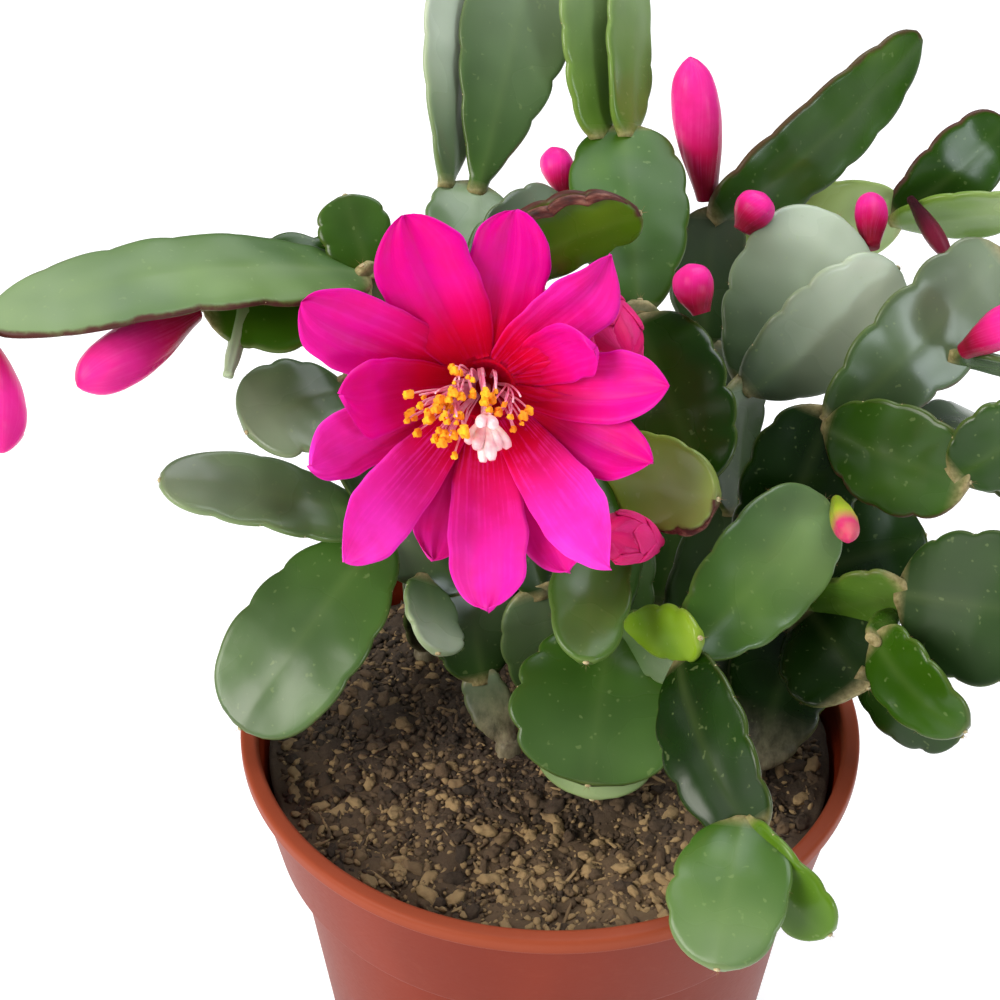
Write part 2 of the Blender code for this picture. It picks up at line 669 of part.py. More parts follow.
def petal_mesh(petal, axis, step):
    """A petal that leaves the tube's mouth forwards and opens out to its tip."""
    reach = petal.tip - THROAT
    out = (reach - axis * reach.dot(axis)).normalized()
    start = THROAT + out * (TUBE_RADIUS - 0.1) - axis * (0.7 + 1.11 * (step * 0.618 % 1.0))
    length = (petal.tip - start).length
    crest = start + out * (length * 0.42) + axis * (length * petal.lift)
    cross = axis.cross(out).normalized()
    sections = []
    for t in PETAL_ROWS:
        point = start * (1 - t) ** 2 + crest * (2 * t * (1 - t)) + petal.tip * t ** 2
        along = ((crest - start) * (1 - t) + (petal.tip - crest) * t).normalized()
        up = along.cross(cross)
        half = petal.width / 2 * petal_share(t, petal.pointed)
        rib, edge = PETAL_RIB_HALF, PETAL_HALF
        cup = up * (half * 0.16)
        sections.append((
            point - cross * half + up * edge + cup,
            point + up * rib,
            point + cross * half + up * edge + cup,
            point + cross * half - up * edge + cup,
            point - up * rib,
            point - cross * half - up * edge + cup,
        ))
    return loft(sections)


def rod(start, end, radius, sides, end_radius=None):
    end_radius = radius if end_radius is None else end_radius
    length = (end - start).length
    bm = turned(((0, 0), (radius, 0), (end_radius, length), (0, length)), sides)
    return stand_on(bm, start, (end - start).normalized())


def grain(centre, direction, radius, length, sides):
    """A small spindle, such as an anther or a stigma's lobe."""
    bm = turned(((0, -length / 2), (radius, 0), (0, length / 2)), sides)
    return stand_on(bm, centre, direction)


def flower(blades):
    axis = flower_axis()
    parent = blades[FLOWER_PAD]
    foot = parent.tip + parent.axis * (GAP + TUBE_NECK * 0.8 * 0.9)
    petals = [petal_mesh(petal, axis, i) for i, petal in enumerate(PETALS)]
    fused("flower_petals", [tube_mesh(foot, THROAT), *petals], material("petal", MAGENTA, 0.45))
    inward = (THROAT - foot).normalized()
    cup_floor = THROAT - inward * (CUP_DEPTH - GAP - 0.8)
    ring_outer, ring_inner = TUBE_RADIUS * 0.5 - 0.2, STYLE_RADIUS + GAP + 0.1
    stamens = [stand_on(turned_ring(ring_inner, ring_outer, 1.2), cup_floor, inward)]
    for anther in ANTHERS:
        reach = anther - THROAT
        way = (reach - axis * reach.dot(axis)).normalized()
        root = cup_floor + inward * 0.6 + way * (ring_inner + ring_outer) / 2
        stamens.append(rod(root, anther, FILAMENT_RADIUS, 3))
        stamens.append(grain(anther, (anther - root).normalized(), ANTHER_RADIUS, 2.2, 4))
    fused("flower_stamens", stamens, material("anther", ORANGE, 0.7))
    pistil = [rod(cup_floor + inward * 0.05, STIGMA, STYLE_RADIUS, 6, 0.7)]
    for tip in STIGMA_LOBES:
        way = tip - STIGMA
        pistil.append(grain(STIGMA + way * 0.45, way.normalized(), LOBE_RADIUS, way.length * 1.1, 5))
    fused("flower_pistil", pistil, material("stigma", PALE_PINK, 0.5))


def turned_ring(inner, outer, height):
    bm = bmesh.new()
    sides = 12
    corners = ((inner, 0), (outer, 0), (outer, height), (inner, height))
    rings = []
    for i in range(sides):
        a = 2 * math.pi * i / sides
        rings.append([bm.verts.new((r * math.cos(a), r * math.sin(a), z)) for r, z in corners])
    for i in range(sides):
        here, there = rings[i], rings[(i + 1) % sides]
        for k in range(4):
            m = (k + 1) % 4
            bm.faces.new((here[k], here[m], there[m], there[k]))
    return facing_out(bm)


def plant():
    green = material("pad skin", GREEN, 0.35)
    pink = material("bud", BUD_PINK, 0.35)
    blades = {}
    for stem in STEMS:
        laid = blades_of(stem)
        blades.update(laid)
        plant_stem(stem, laid, green)
    for spec in BUDS:
        bud(spec, blades, pink)
    flower(blades)


def main():
    clear_scene()
    pot()
    soil()
    plant()


main()
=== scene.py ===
"""The looks of the potted Easter cactus: waxy scalloped pads, furled buds, one open flower,
crumbly compost and a moulded nursery pot.

Lengths are written in millimetres and turned to metres as the meshes are made. The plant is laid
out by the same rule and the same named places as the solids it covers.
"""

import json
import math
import random
from collections import namedtuple

import bmesh
import bpy
import numpy as np
from mathutils import Matrix, Vector, noise

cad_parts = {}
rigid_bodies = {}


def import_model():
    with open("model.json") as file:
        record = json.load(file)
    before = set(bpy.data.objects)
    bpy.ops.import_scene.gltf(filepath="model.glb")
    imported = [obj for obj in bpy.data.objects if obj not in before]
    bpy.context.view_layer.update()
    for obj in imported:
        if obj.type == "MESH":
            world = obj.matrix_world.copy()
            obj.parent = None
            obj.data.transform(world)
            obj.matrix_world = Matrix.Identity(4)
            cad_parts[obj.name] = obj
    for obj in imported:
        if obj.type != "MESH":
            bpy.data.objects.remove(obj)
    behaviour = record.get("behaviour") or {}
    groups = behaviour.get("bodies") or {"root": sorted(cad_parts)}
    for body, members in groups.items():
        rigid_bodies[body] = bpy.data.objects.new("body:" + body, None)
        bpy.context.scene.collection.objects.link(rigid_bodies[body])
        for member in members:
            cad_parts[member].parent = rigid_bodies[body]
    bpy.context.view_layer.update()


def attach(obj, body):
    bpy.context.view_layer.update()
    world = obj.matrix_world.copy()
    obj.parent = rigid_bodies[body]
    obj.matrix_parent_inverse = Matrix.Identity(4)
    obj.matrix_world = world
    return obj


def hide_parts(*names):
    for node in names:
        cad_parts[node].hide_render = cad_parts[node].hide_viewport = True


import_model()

MM = 0.001
GAP = 0.3

# Pot
POT_HEIGHT = 90.0
RIM_RADIUS = 52.5
LIP_WIDTH = 2.9
LIP_DEPTH = 3.0
COLLAR_TOP_RADIUS = 51.1
COLLAR_FOOT_RADIUS = 47.7
COLLAR_DEPTH = 22.5
BODY_TOP_RADIUS = 45.1
BASE_RADIUS = 37.2
WALL = 1.2
FLOOR = 4.0
CHANNEL_DEPTH = 2.2
CHANNEL_RADII = (13.0, 32.0)
DRAIN_RADIUS = 3.2
DRAIN_COUNT = 6
DRAIN_SIDES = 40
POT_FILLET = 0.9
POT_SIDES = 192
BODY_SLOPE = (BODY_TOP_RADIUS - BASE_RADIUS) / (POT_HEIGHT - COLLAR_DEPTH)
COLLAR_SLOPE = (COLLAR_TOP_RADIUS - COLLAR_FOOT_RADIUS) / (COLLAR_DEPTH - LIP_DEPTH)

# Compost
SOIL_TOP = 83.0
SOIL_BUMP = 1.3
SOIL_SIDES = 200
SOIL_RINGS = 60
ROOT_RADIUS = 2.4
COLLAR_OF_ROOT = 2.6

# A pad
NECK_HALF = 1.9
TIP_HALF = 1.4
EDGE_HALF = 0.45
RIB_HALF = 1.35
TIP_RIB_HALF = 0.75
PAD_BLUNTNESS = 2.3
NOTCH = 0.085  # a scallop's depth, as a share of the half width
SCALLOP_SHARPNESS = 0.6
LOBES = 4
LONGER_PADS = (30.0, 44.0)  # each length that is passed adds a scallop
SINK = 3.0

# The eye that the plant's front is set out from, as a photographer stands before it
EYE = Vector((-8.4, -233.9, 293.1))
EYE_DIP = math.radians(34.4)
FOCAL = 1800.0
PICTURE_MIDDLE = 500.0
AXIS_DEPTH = 307.7  # from the eye to the middle of the rim, along the sight line
ZENITH = Vector((0.0, 0.0, 1000.0))
EYE_RIGHT = Vector((1.0, 0.0, 0.0))
EYE_UP = Vector((0.0, math.sin(EYE_DIP), math.cos(EYE_DIP)))
EYE_AHEAD = Vector((0.0, math.cos(EYE_DIP), -math.sin(EYE_DIP)))

# shape is below 1 for a pad that is widest towards its foot, and above 1 towards its tip
Pad = namedtuple("Pad", "name parent tip width turn bow side along shape",
                 defaults=(0, 0, 0, 1.0, 1.3))
Stem = namedtuple("Stem", "name root faces pads")
Bud = namedtuple("Bud", "name pad side along tip radius", defaults=(3.6,))
Petal = namedtuple("Petal", "tip width lift pointed twist cup curl pale sway")


def seen(column, row, near):
    """The place that the eye sees at this picture point, near mm before the pot's axis."""
    depth = AXIS_DEPTH - near
    right = (column - PICTURE_MIDDLE) / FOCAL * depth
    up = (PICTURE_MIDDLE - row) / FOCAL * depth
    return EYE + EYE_RIGHT * right + EYE_UP * up + EYE_AHEAD * depth


def place(x, y, z):
    return Vector((x, y, z))


STEMS = (
    Stem("stem_left_arm", (-22, 22), EYE, (
        Pad("a1", None, seen(432, 520, -5), 15, turn=50),
        Pad("a2", "a1", seen(430, 400, 4), 15, turn=20),
        Pad("a3", "a2", seen(362, 266, 24), 12, turn=30),
        Pad("a_long", "a3", seen(-14, 324, 44), 18, turn=48, bow=5, shape=1.0),
        Pad("a_up", "a3", seen(345, 196, 22), 12, turn=15),
        Pad("a_under", "a3", seen(203, 309, 29), 21, turn=32, shape=0.85),
        Pad("a_sprout", "a_under", seen(228, 376, 33), 2.8, side=0.9, along=0.62),
    )),
    Stem("stem_left_low", (-7, -3), EYE, (
        Pad("b1", None, seen(474, 668, 0), 8),
        Pad("b2", "b1", seen(466, 572, 2), 17, turn=20),
        Pad("b3", "b2", seen(374, 520, 8), 13, turn=20),
        Pad("b_droop", "b3", seen(240, 728, 13), 22.5, turn=15, bow=2),
        Pad("b_reach", "b3", seen(160, 480, 22), 15, turn=40, bow=2),
        Pad("b4", "b3", seen(346, 374, 14), 13, turn=25),
        Pad("b_side", "b3", seen(438, 653, 15), 13, turn=-48, side=-0.7, along=0.4),
        Pad("b_tilt", "b4", seen(247, 432, 24), 18.5, turn=30, bow=2),
    )),
    Stem("stem_flower", (3, 4), EYE, (
        Pad("c1", None, seen(538, 583, 7), 17, turn=10),
        Pad("c2", "c1", seen(492, 392, 16), 16, turn=20),
        Pad("c3", "c2", seen(462, 276, 12), 13, turn=20, side=-0.7),
        Pad("c_curl", "c3", seen(640, 213, 20), 18, turn=45, bow=-2, shape=1.1),
        Pad("c_fan", "c3", seen(474, 184, -6), 16, turn=10),
        Pad("c_blade_left", "c_fan", seen(459, -50, -4), 17, turn=52, side=-1, shape=1.6),
        Pad("c_blade_right", "c_fan", seen(535, -64, -8), 22, turn=22, side=0.1, shape=2.0),
        Pad("c_behind", "c3", seen(562, 200, -8), 15, turn=10),
    )),
    Stem("stem_front", (8, -8), EYE, (
        Pad("d1", None, seen(612, 610, 15), 14),
        Pad("d_round", "d1", seen(588, 785, 24), 28, bow=2, shape=1.1),
        Pad("d_round_under", "d1", seen(592, 799, 16), 21),
        Pad("d2", "d1", seen(592, 445, 16), 15, turn=10),
        Pad("d_flap", "d2", seen(586, 662, 36), 13, turn=-10, shape=1.5),
        Pad("d_olive", "d2", seen(718, 499, 32), 15.5, turn=15, shape=1.1),
        Pad("d_young", "d1", seen(700, 638, 34), 9.5, turn=20, side=0.5, shape=1.6),
        Pad("d3", "d1", seen(697, 660, 28), 12, turn=20, side=0.3),
        Pad("d_wing", "d3", seen(825, 500, 15), 19, turn=15, bow=2),
        Pad("d_hang", "d3", seen(757, 838, 42), 17, turn=35, bow=3, shape=1.1),
        Pad("d_lip_left", "d_hang", seen(717, 969, 54), 17.5, turn=10, bow=2, shape=1.1),
        Pad("d_lip_right", "d_hang", seen(830, 934, 49), 12, turn=38, bow=2),
    )),
    Stem("stem_middle", (12, 13), EYE, (
        Pad("e1", None, seen(620, 512, 1), 14, turn=10),
        Pad("e2", "e1", seen(640, 300, 6), 14, turn=10),
        Pad("e_big", "e2", seen(622, 126, -12), 21, turn=5, bow=2),
        Pad("e_dark", "e2", seen(706, 484, 18), 21, turn=10, bow=2, shape=1.0),
        Pad("e_fork_left", "e_big", seen(576, -58, -4), 14, turn=48, side=-0.8, shape=1.0),
        Pad("e_fork_right", "e_big", seen(629, -54, -8), 13, turn=54, side=0.1, shape=1.0),
    )),
    Stem("stem_pale", (23, 14), EYE, (
        Pad("f1", None, seen(735, 498, -8), 15, turn=20),
        Pad("f2", "f1", seen(744, 374, 0), 14, turn=55),
        Pad("f_pale_left", "f2", seen(838, 217, -8), 24, turn=10, bow=2),
        Pad("f_pale_right", "f2", seen(898, 268, 6), 20, turn=30, bow=2),
    )),
    Stem("stem_right", (31, 1), EYE, (
        Pad("g1", None, seen(757, 572, 3), 18, turn=10),
        Pad("g2", "g1", seen(832, 408, 6), 20, turn=10),
        Pad("g_dark", "g1", seen(925, 535, 2), 20, turn=10),
        Pad("g_gloss", "g2", seen(1004, 252, 6), 20, turn=25, bow=2),
        Pad("g_shelf", "g2", seen(970, 482, 20), 18.5, turn=20, bow=2),
        Pad("g_edge", "g_shelf", seen(1045, 418, 26), 16, turn=30),
        Pad("g_thin", "g_gloss", seen(1050, 372, 10), 14, turn=78, side=0.8, along=0.55),
    )),
    Stem("stem_back", (20, 22), EYE, (
        Pad("h1", None, seen(690, 470, -18), 16),
        Pad("h2", "h1", seen(705, 335, -18), 14),
        Pad("h3", "h2", seen(713, 207, -18), 14),
        Pad("h_spear", "h3", seen(919, 36, -20), 16.5, turn=36, bow=3, shape=0.85),
        Pad("h_light", "h3", seen(903, 220, -36), 17, turn=18),
        Pad("h_up", "h_light", seen(1006, 121, -30), 15.5, turn=22, bow=2),
        Pad("h_out", "h_light", seen(1032, 206, -24), 15, turn=58),
    )),
    Stem("stem_right_low", (34, -10), EYE, (
        Pad("m1", None, seen(812, 590, 7), 18),
        Pad("m2", "m1", seen(912, 590, 22), 14, turn=46),
        Pad("m_disc", "m2", seen(1048, 614, 32), 25, turn=5, bow=2),
        Pad("m_stalk", "m2", seen(873, 640, 29), 5, along=0.7, side=0.9),
        Pad("m_tongue", "m_stalk", seen(965, 731, 36), 13, turn=35, bow=2, shape=0.9),
        Pad("m3", "m1", seen(868, 688, 16), 22),
        Pad("m_low", "m3", seen(962, 736, 20), 16, turn=40),
    )),
    Stem("stem_rear_left", (-10, 34), ZENITH, (
        Pad("n1", None, place(-14, 52, 108), 17),
        Pad("n2", "n1", place(-6, 74, 122), 19, bow=2),
        Pad("n3", "n2", place(-22, 96, 112), 20, bow=3),
        Pad("n4", "n2", place(10, 98, 114), 20, bow=3),
    )),
    Stem("stem_rear_middle", (14, 34), ZENITH, (
        Pad("o1", None, place(20, 56, 108), 17),
        Pad("o2", "o1", place(30, 80, 116), 19, bow=2),
        Pad("o3", "o2", place(24, 106, 104), 20, bow=3),
        Pad("o4", "o2", place(50, 98, 108), 20, bow=3),
    )),
    Stem("stem_rear_right", (34, 24), ZENITH, (
        Pad("p1", None, place(48, 33, 108), 17),
        Pad("p2", "p1", place(72, 48, 113), 19, bow=2),
        Pad("p3", "p2", place(92, 64, 104), 20, bow=3),
        Pad("p4", "p2", place(96, 38, 106), 20, bow=3),
    )),
)

BUDS = (
    Bud("bud_far_left", "a_long", 0.8, 1, seen(4, 452, 52), 5.2),
    Bud("bud_left", "a_under", 0, 1, seen(78, 386, 44), 4.5),
    Bud("bud_top_left", "c_behind", 0, 1, seen(551, 147, -8), 3.0),
    Bud("bud_tall", "h3", -1.4, 1, seen(690, 57, -6), 4.5),
    Bud("bud_round_upper", "f_pale_left", -0.9, 0.66, seen(764, 193, -2), 3.6),
    Bud("bud_round_lower", "e_dark", -0.95, 0.16, seen(688, 264, 12), 3.5),
    Bud("bud_beside_flower", "c_curl", 0.9, 0.48, seen(631, 356, 31), 4.8),
    Bud("bud_under_flower", "d_olive", 0.9, 0.55, seen(606, 534, 47), 3.8),
    Bud("bud_green", "d_wing", 1.8, 1, seen(850, 538, 34), 2.2),
    Bud("bud_right_joint", "f_pale_left", 0.9, 0.96, seen(870, 194, -14), 3.0),
    Bud("bud_small", "h_out", -0.9, 0.2, seen(948, 256, -8), 1.8),
    Bud("bud_far_right", "g_thin", -0.9, 0.15, seen(1030, 310, 24), 3.4),
)
BUD_PROFILE = (
    (0.0, 0.42), (0.14, 0.58), (0.35, 0.86), (0.58, 1.0), (0.8, 0.9), (0.93, 0.62), (1.0, 0.2),
)
BUD_FLUTE = 0.05
BUD_TWIST = 0.9
BUD_STANDOFF = 0.2

# The open flower
FLOWER_PAD = "c2"
THROAT = seen(484, 390, 33)
FACE = seen(486, 412, 52)
TUBE_RADIUS = 5.0
TUBE_WALL = 0.75
OVARY_RADIUS = 3.3
TUBE_NECK = 2.3
CUP_DEPTH = 7.0
PETAL_ROOT = 0.48  # a petal's width at its root, as a share of its greatest width
PETAL_WIDEST = 0.66
PETAL_SINK = 0.7  # how far below the tube's mouth the first petal starts
PETAL_STAGGER = 1.11  # how much further down the others start, in golden steps
GOLDEN_SHARE = 0.618

# Each petal's tip, width and lift, then how pointed it is, its twist in degrees, the rise of its
# edges, the curl of its tip in mm, how pale it is, partly its own paler violet-pink and partly a
# painted highlight, and how far in mm its middle sways to the side
PETALS = (
    Petal(seen(406, 216, 47), 14.5, 0.46, 0.4, -8, 0.16, 1.5, 0.0, 0.8),
    Petal(seen(513, 212, 45), 12.5, 0.46, 0.3, 8, 0.14, 1.5, 0.0, -0.6),
    Petal(seen(607, 252, 47), 11.0, 0.48, 0.8, 30, 0.2, 1.0, 0.25, -2.6),
    Petal(seen(600, 342, 49), 9.5, 0.40, 0.2, 10, 0.22, 1.5, 0.1, 0.8),
    Petal(seen(672, 387, 46), 10.8, 0.42, 0.7, -12, 0.3, 2.0, 0.15, 0.6),
    Petal(seen(654, 464, 44), 10.5, 0.38, 0.7, -20, 0.24, 1.0, 0.1, -0.8),
    Petal(seen(603, 563, 54), 11.0, 0.45, 1.0, 12, 0.2, -1.5, 0.75, 0.8),
    Petal(seen(568, 568, 44), 11.0, 0.22, 0.2, 0, 0.16, -1.0, 0.2, 0.6),
    Petal(seen(487, 601, 50), 11.8, 0.38, 0.0, 4, 0.14, -2.0, 0.45, 0.5),
    Petal(seen(434, 557, 42), 9.0, 0.22, 0.2, 0, 0.16, -1.0, 0.3, -0.7),
    Petal(seen(350, 560, 56), 10.5, 0.45, 0.4, -16, 0.2, -1.0, 0.85, -1.2),
    Petal(seen(371, 512, 45), 7.0, 0.30, 0.6, -30, 0.3, 1.0, 0.15, 0.5),
    Petal(seen(304, 465, 50), 10.0, 0.38, 0.2, -6, 0.2, 1.5, 0.6, -1.0),
    Petal(seen(331, 396, 52), 11.5, 0.45, 1.0, 12, 0.2, 2.0, 0.05, 1.0),
    Petal(seen(304, 297, 48), 12.5, 0.44, 0.2, -10, 0.18, 2.5, 0.1, 1.4),
)

ANTHERS = tuple(seen(*spot) for spot in (
    (459, 373, 48), (464, 386, 50), (455, 395, 51), (444, 397, 48), (437, 406, 49),
    (424, 407, 46), (430, 416, 48), (420, 420, 45), (452, 418, 51), (461, 427, 52),
    (445, 432, 50), (436, 439, 48), (447, 443, 50), (479, 391, 50), (491, 399, 51),
    (499, 408, 50), (510, 413, 49), (515, 421, 49),
))

STIGMA = seen(486, 419, 48)
STIGMA_LOBES = tuple(seen(*spot) for spot in (
    (467, 443, 50), (476, 449, 51), (483, 462, 50), (492, 460, 51), (499, 450, 50),
    (509, 448, 49), (480, 424, 54), (494, 426, 54),
))
LOBE_RADII = (0.5, 0.58, 0.62, 0.66, 0.7, 0.75, 0.8, 0.84, 0.88, 0.9, 0.87, 0.76, 0.48)

# How finely the shapes are drawn
PAD_STEPS_PER_LOBE = 10
PAD_ACROSS = (0.0, 0.06, 0.16, 0.28, 0.41, 0.54, 0.67, 0.79, 0.88, 0.945, 0.98, 1.0)
PETAL_STEPS = 34
PETAL_ACROSS = 15
BUD_STEPS = 34
BUD_RING = 54
ROOT_SIDES = 26
WITHERED_STEPS = 59
WITHERED_SIDES = 20
SCALE_STEPS = 16
SCALE_ACROSS = 11
TUBE_SIDES = 48
THREAD_STEPS = 10

# Stamens, and the felted points of the pads
STAMENS_PER_PLACE = 4
BARE_THREADS = 18
THREAD_SPREAD = 0.85
STRAY = ((-0.6, 0.6), (-0.5, 0.5), (0.8, 2.4))  # how far off a bare thread ends
THREAD_RADIUS = 0.15
ANTHER_RADIUS = 0.7
NARROWEST_WITH_AREOLES = 6
NOTCH_TUFT = 0.5
TIP_TUFT = 0.9
WOOL_RADIUS = 0.5
BRISTLE_LENGTH = 1.7
BRISTLE_RADIUS = 0.04

# How far a grown pad departs from its plain outline and its flat face
SCALLOP_DRIFT = 0.24
SCALLOP_SPREAD = 1.3
SIDE_SWELL = 0.09
WAVE = 1.1
RIPPLE = 0.35
EDGE_ROLL = 0.8  # the width of the rounded margin
PAD_MARKS = ("inset", "rib", "joint", "brown", "wood", "tone", "bloom", "matt")
PETAL_MARKS = ("along", "across", "inset", "pale")

# How far a petal's face stands off its middle, in mm
FRILL = 1.7
FOLD = 0.9
KEEL = 0.3
SCALE_THICKNESS = 0.25

# Studio, in metres; the sensor's width in mm
FLOOR_REACH = 20.0
PLANT_MIDDLE = Vector((0.0, 0.0, 0.11))
SENSOR_WIDTH = 36.0

# Looks of single pads. tone runs from -1, old and dark, to 1, young and yellow-green; the darkest
# tones also paint the shade on pads that lie in deep shadow. bloom is how waxy and grey its face
# is, and it also paints the broad sheen and highlights that light lays on a pad; brown is how far
# its margin has dried, on both sides or on one; curl is how dished it is, and matt how little it
# shines.
Look = namedtuple("Look", "tone bloom brown dry curl matt", defaults=(0.0, 0.1, 0, 0.06, 0.0))
# The darkest tones, on d_hang, e_dark, g2, g_dark, m1, m3, m_disc and m_low, paint the shade of
# pads in deep shadow
LOOKS = {
    "a_long": Look(0.14, 0.34, brown=0.9, dry=-1, curl=0.03, matt=0.5),
    "a_under": Look(-0.25, brown=0.3),
    "a_sprout": Look(0.2, 0.7, brown=0.0),
    "a_up": Look(-0.1, 0.04, brown=0.2),
    "a3": Look(0.0, 0.1, brown=0.2),
    "b1": Look(-0.6, 0.2, brown=0.0),
    "b_tilt": Look(-0.1, 0.44),
    "b_reach": Look(-0.05, 0.4),
    "b_side": Look(0.0, 0.7, curl=0.12),
    "b_droop": Look(-0.2, 0.16, brown=0.2),
    "c_fan": Look(-0.1, 0.3),
    "c_curl": Look(0.05, brown=0.8, dry=-1, curl=-0.1),
    "c_blade_left": Look(0.1, 1.8),
    "c_blade_right": Look(-0.1, 0.4, brown=0.2),
    "d_round": Look(-0.3, 0.06),
    "d_round_under": Look(0.45, 0.4),
    "d_young": Look(0.6),
    "d_flap": Look(-0.05, 0.06),
    "d_olive": Look(0.75, 0.2, brown=0.9, dry=1),
    "d_wing": Look(0.05, 0.2),
    "d_hang": Look(-0.8),
    "d_lip_left": Look(0.0, 0.18),
    "d_lip_right": Look(0.25, brown=0.0),
    "e_big": Look(-0.15, matt=0.5),
    "e_dark": Look(-0.6),
    "e_fork_left": Look(0.45, 0.4),
    "e_fork_right": Look(0.4, 0.4),
    "f2": Look(-0.3, 0.2),
    "f_pale_left": Look(-0.3, 0.95),
    "f_pale_right": Look(-0.4, 1.3),
    "g2": Look(-0.9),
    "g_dark": Look(-0.9),
    "g_shelf": Look(-0.25, 0.02, brown=0.7, dry=1, curl=0.1),
    "g_gloss": Look(-0.3, 0.45, brown=0.6, dry=1),
    "g_edge": Look(-0.4, 0.06),
    "h_spear": Look(-0.2, brown=0.6, dry=-1),
    "h_light": Look(0.9, 0.5),
    "h_up": Look(-0.4, brown=0.8, dry=-1),
    "h_out": Look(0.5, 0.3),
    "m1": Look(-0.9),
    "m2": Look(0.1, 0.05, brown=0.6),
    "m_stalk": Look(-0.3, brown=0.3),
    "m3": Look(-0.85),
    "m_disc": Look(-0.65, curl=0.03, matt=0.9),
    "m_tongue": Look(-0.2, brown=0.2, curl=0.12),
    "m_low": Look(-0.8),
}

# Margins that have dried and rolled over: pad, side, where they start and end, and their radius
WITHERED = (
    ("c_curl", -1, 0.12, 0.97, 0.95),
    ("d_olive", 1, 0.45, 1.0, 0.6),
)

# Buds whose outer petals have begun to unfold in scales: each row's start and end as shares of the
# bud's length, how many scales it has, and how far they stand off and flare out
SCALY_BUDS = ("bud_beside_flower", "bud_under_flower")
ScaleRow = namedtuple("ScaleRow", "start end count lift flare")
SCALE_ROWS = (
    ScaleRow(0.3, 1.0, 4, 0.02, 0.0),
    ScaleRow(0.12, 0.86, 5, 0.06, 0.08),
    ScaleRow(0.02, 0.6, 5, 0.1, 0.08),
)

# Crumbs strewn on the compost: size in mm, number on a square metre, stretch, fineness and seed
Crumbs = namedtuple("Crumbs", "name size density long fineness seed")
CRUMBS = (
    Crumbs("compost_lumps", 1.7, 52000.0, 1.0, 3, 3),
    Crumbs("compost_crumbs", 0.85, 330000.0, 1.1, 2, 5),
    Crumbs("compost_grit", 0.5, 800000.0, 1.0, 1, 12),
    Crumbs("compost_fibres", 0.42, 110000.0, 5.0, 2, 8),
)


def linear(hex_colour):
    """An sRGB hex colour as the linear RGBA that shaders take."""
    shares = [int(hex_colour[i:i + 2], 16) / 255 for i in (1, 3, 5)]
    return (*[s / 12.92 if s <= 0.04045 else ((s + 0.055) / 1.055) ** 2.4 for s in shares], 1.0)


def node(tree, kind, inputs=None, **settings):
    """Adds a node with its settings, and sets or links each named or numbered input."""
    made = tree.nodes.new(kind)
    for key, value in settings.items():
        setattr(made, key, value)
    for key, value in (inputs or {}).items():
        if isinstance(value, bpy.types.NodeSocket):
            tree.links.new(value, made.inputs[key])
        else:
            made.inputs[key].default_value = value
    return made


def new_material(name, **surface):
    """A material with a Principled shader whose plain values are set on its own sockets."""
    made = bpy.data.materials.new(name)
    made.use_nodes = True
    tree = made.node_tree
    shader = tree.nodes["Principled BSDF"]
    for key, value in surface.items():
        shader.inputs[key.replace("_", " ")].default_value = value
    return made, tree, shader


def ramp(tree, factor, stops):
    """A colour ramp from (place, colour) stops; a number stands for a grey."""
    made = node(tree, "ShaderNodeValToRGB", {"Fac": factor})
    elements = made.color_ramp.elements
    while len(elements) < len(stops):
        elements.new(0.5)
    for element, (spot, colour) in zip(elements, stops):
        element.position = spot
        element.color = linear(colour) if isinstance(colour, str) else (colour, colour, colour, 1.0)
    return made.outputs["Color"]


def mixed(tree, factor, low, high):
    low, high = (linear(c) if isinstance(c, str) else c for c in (low, high))
    return node(tree, "ShaderNodeMix", {0: factor, 6: low, 7: high}, data_type="RGBA").outputs[2]


def layered(tree, colour, layers):
    """The colour with each (share, colour) layer laid over it in turn."""
    for share, above in layers:
        colour = mixed(tree, share, colour, above)
    return colour


def maths(tree, how, a, b, c=0.0, clamp=False):
    made = node(tree, "ShaderNodeMath", {0: a, 1: b, 2: c}, operation=how, use_clamp=clamp)
    return made.outputs[0]


def plus(tree, a, b, clamp=False):
    return maths(tree, "ADD", a, b, clamp=clamp)


def times(tree, a, b, clamp=False):
    return maths(tree, "MULTIPLY", a, b, clamp=clamp)


def scaled(tree, value, factor, shift, clamp=False):
    return maths(tree, "MULTIPLY_ADD", value, factor, shift, clamp)


def fade(tree, value, start, end):
    """1 while value is under start, falling to 0 at end."""
    spread = {"Value": value, "From Min": start, "From Max": end, "To Min": 1.0, "To Max": 0.0}
    return node(tree, "ShaderNodeMapRange", spread, interpolation_type="SMOOTHSTEP").outputs[0]


def mark(tree, name):
    return node(tree, "ShaderNodeAttribute", attribute_name=name).outputs["Fac"]


def spot_along(tree, axis):
    """How far the point lies along the object's own X, Y or Z, in metres."""
    spot = node(tree, "ShaderNodeTexCoord").outputs["Object"]
    return node(tree, "ShaderNodeSeparateXYZ", {"Vector": spot}).outputs[axis]


def grit(tree, size_mm, detail=3.0, roughness=0.6, stretch=None):
    """Noise whose lumps are about size_mm across, on Object coordinates in metres."""
    spot = node(tree, "ShaderNodeTexCoord").outputs["Object"]
    if stretch:
        spot = node(tree, "ShaderNodeMapping", {"Vector": spot, "Scale": stretch}).outputs[0]
    made = node(tree, "ShaderNodeTexNoise", {
        "Vector": spot, "Scale": 0.5 / (size_mm * MM), "Detail": detail, "Roughness": roughness,
    })
    return made.outputs["Fac"]


def bumped(tree, shader, height, depth_mm, strength=1.0, under=None):
    inputs = {"Height": height, "Distance": depth_mm * MM, "Strength": strength}
    if under:
        inputs["Normal"] = under
    made = node(tree, "ShaderNodeBump", inputs)
    tree.links.new(made.outputs["Normal"], shader.inputs["Normal"])
    return made.outputs["Normal"]


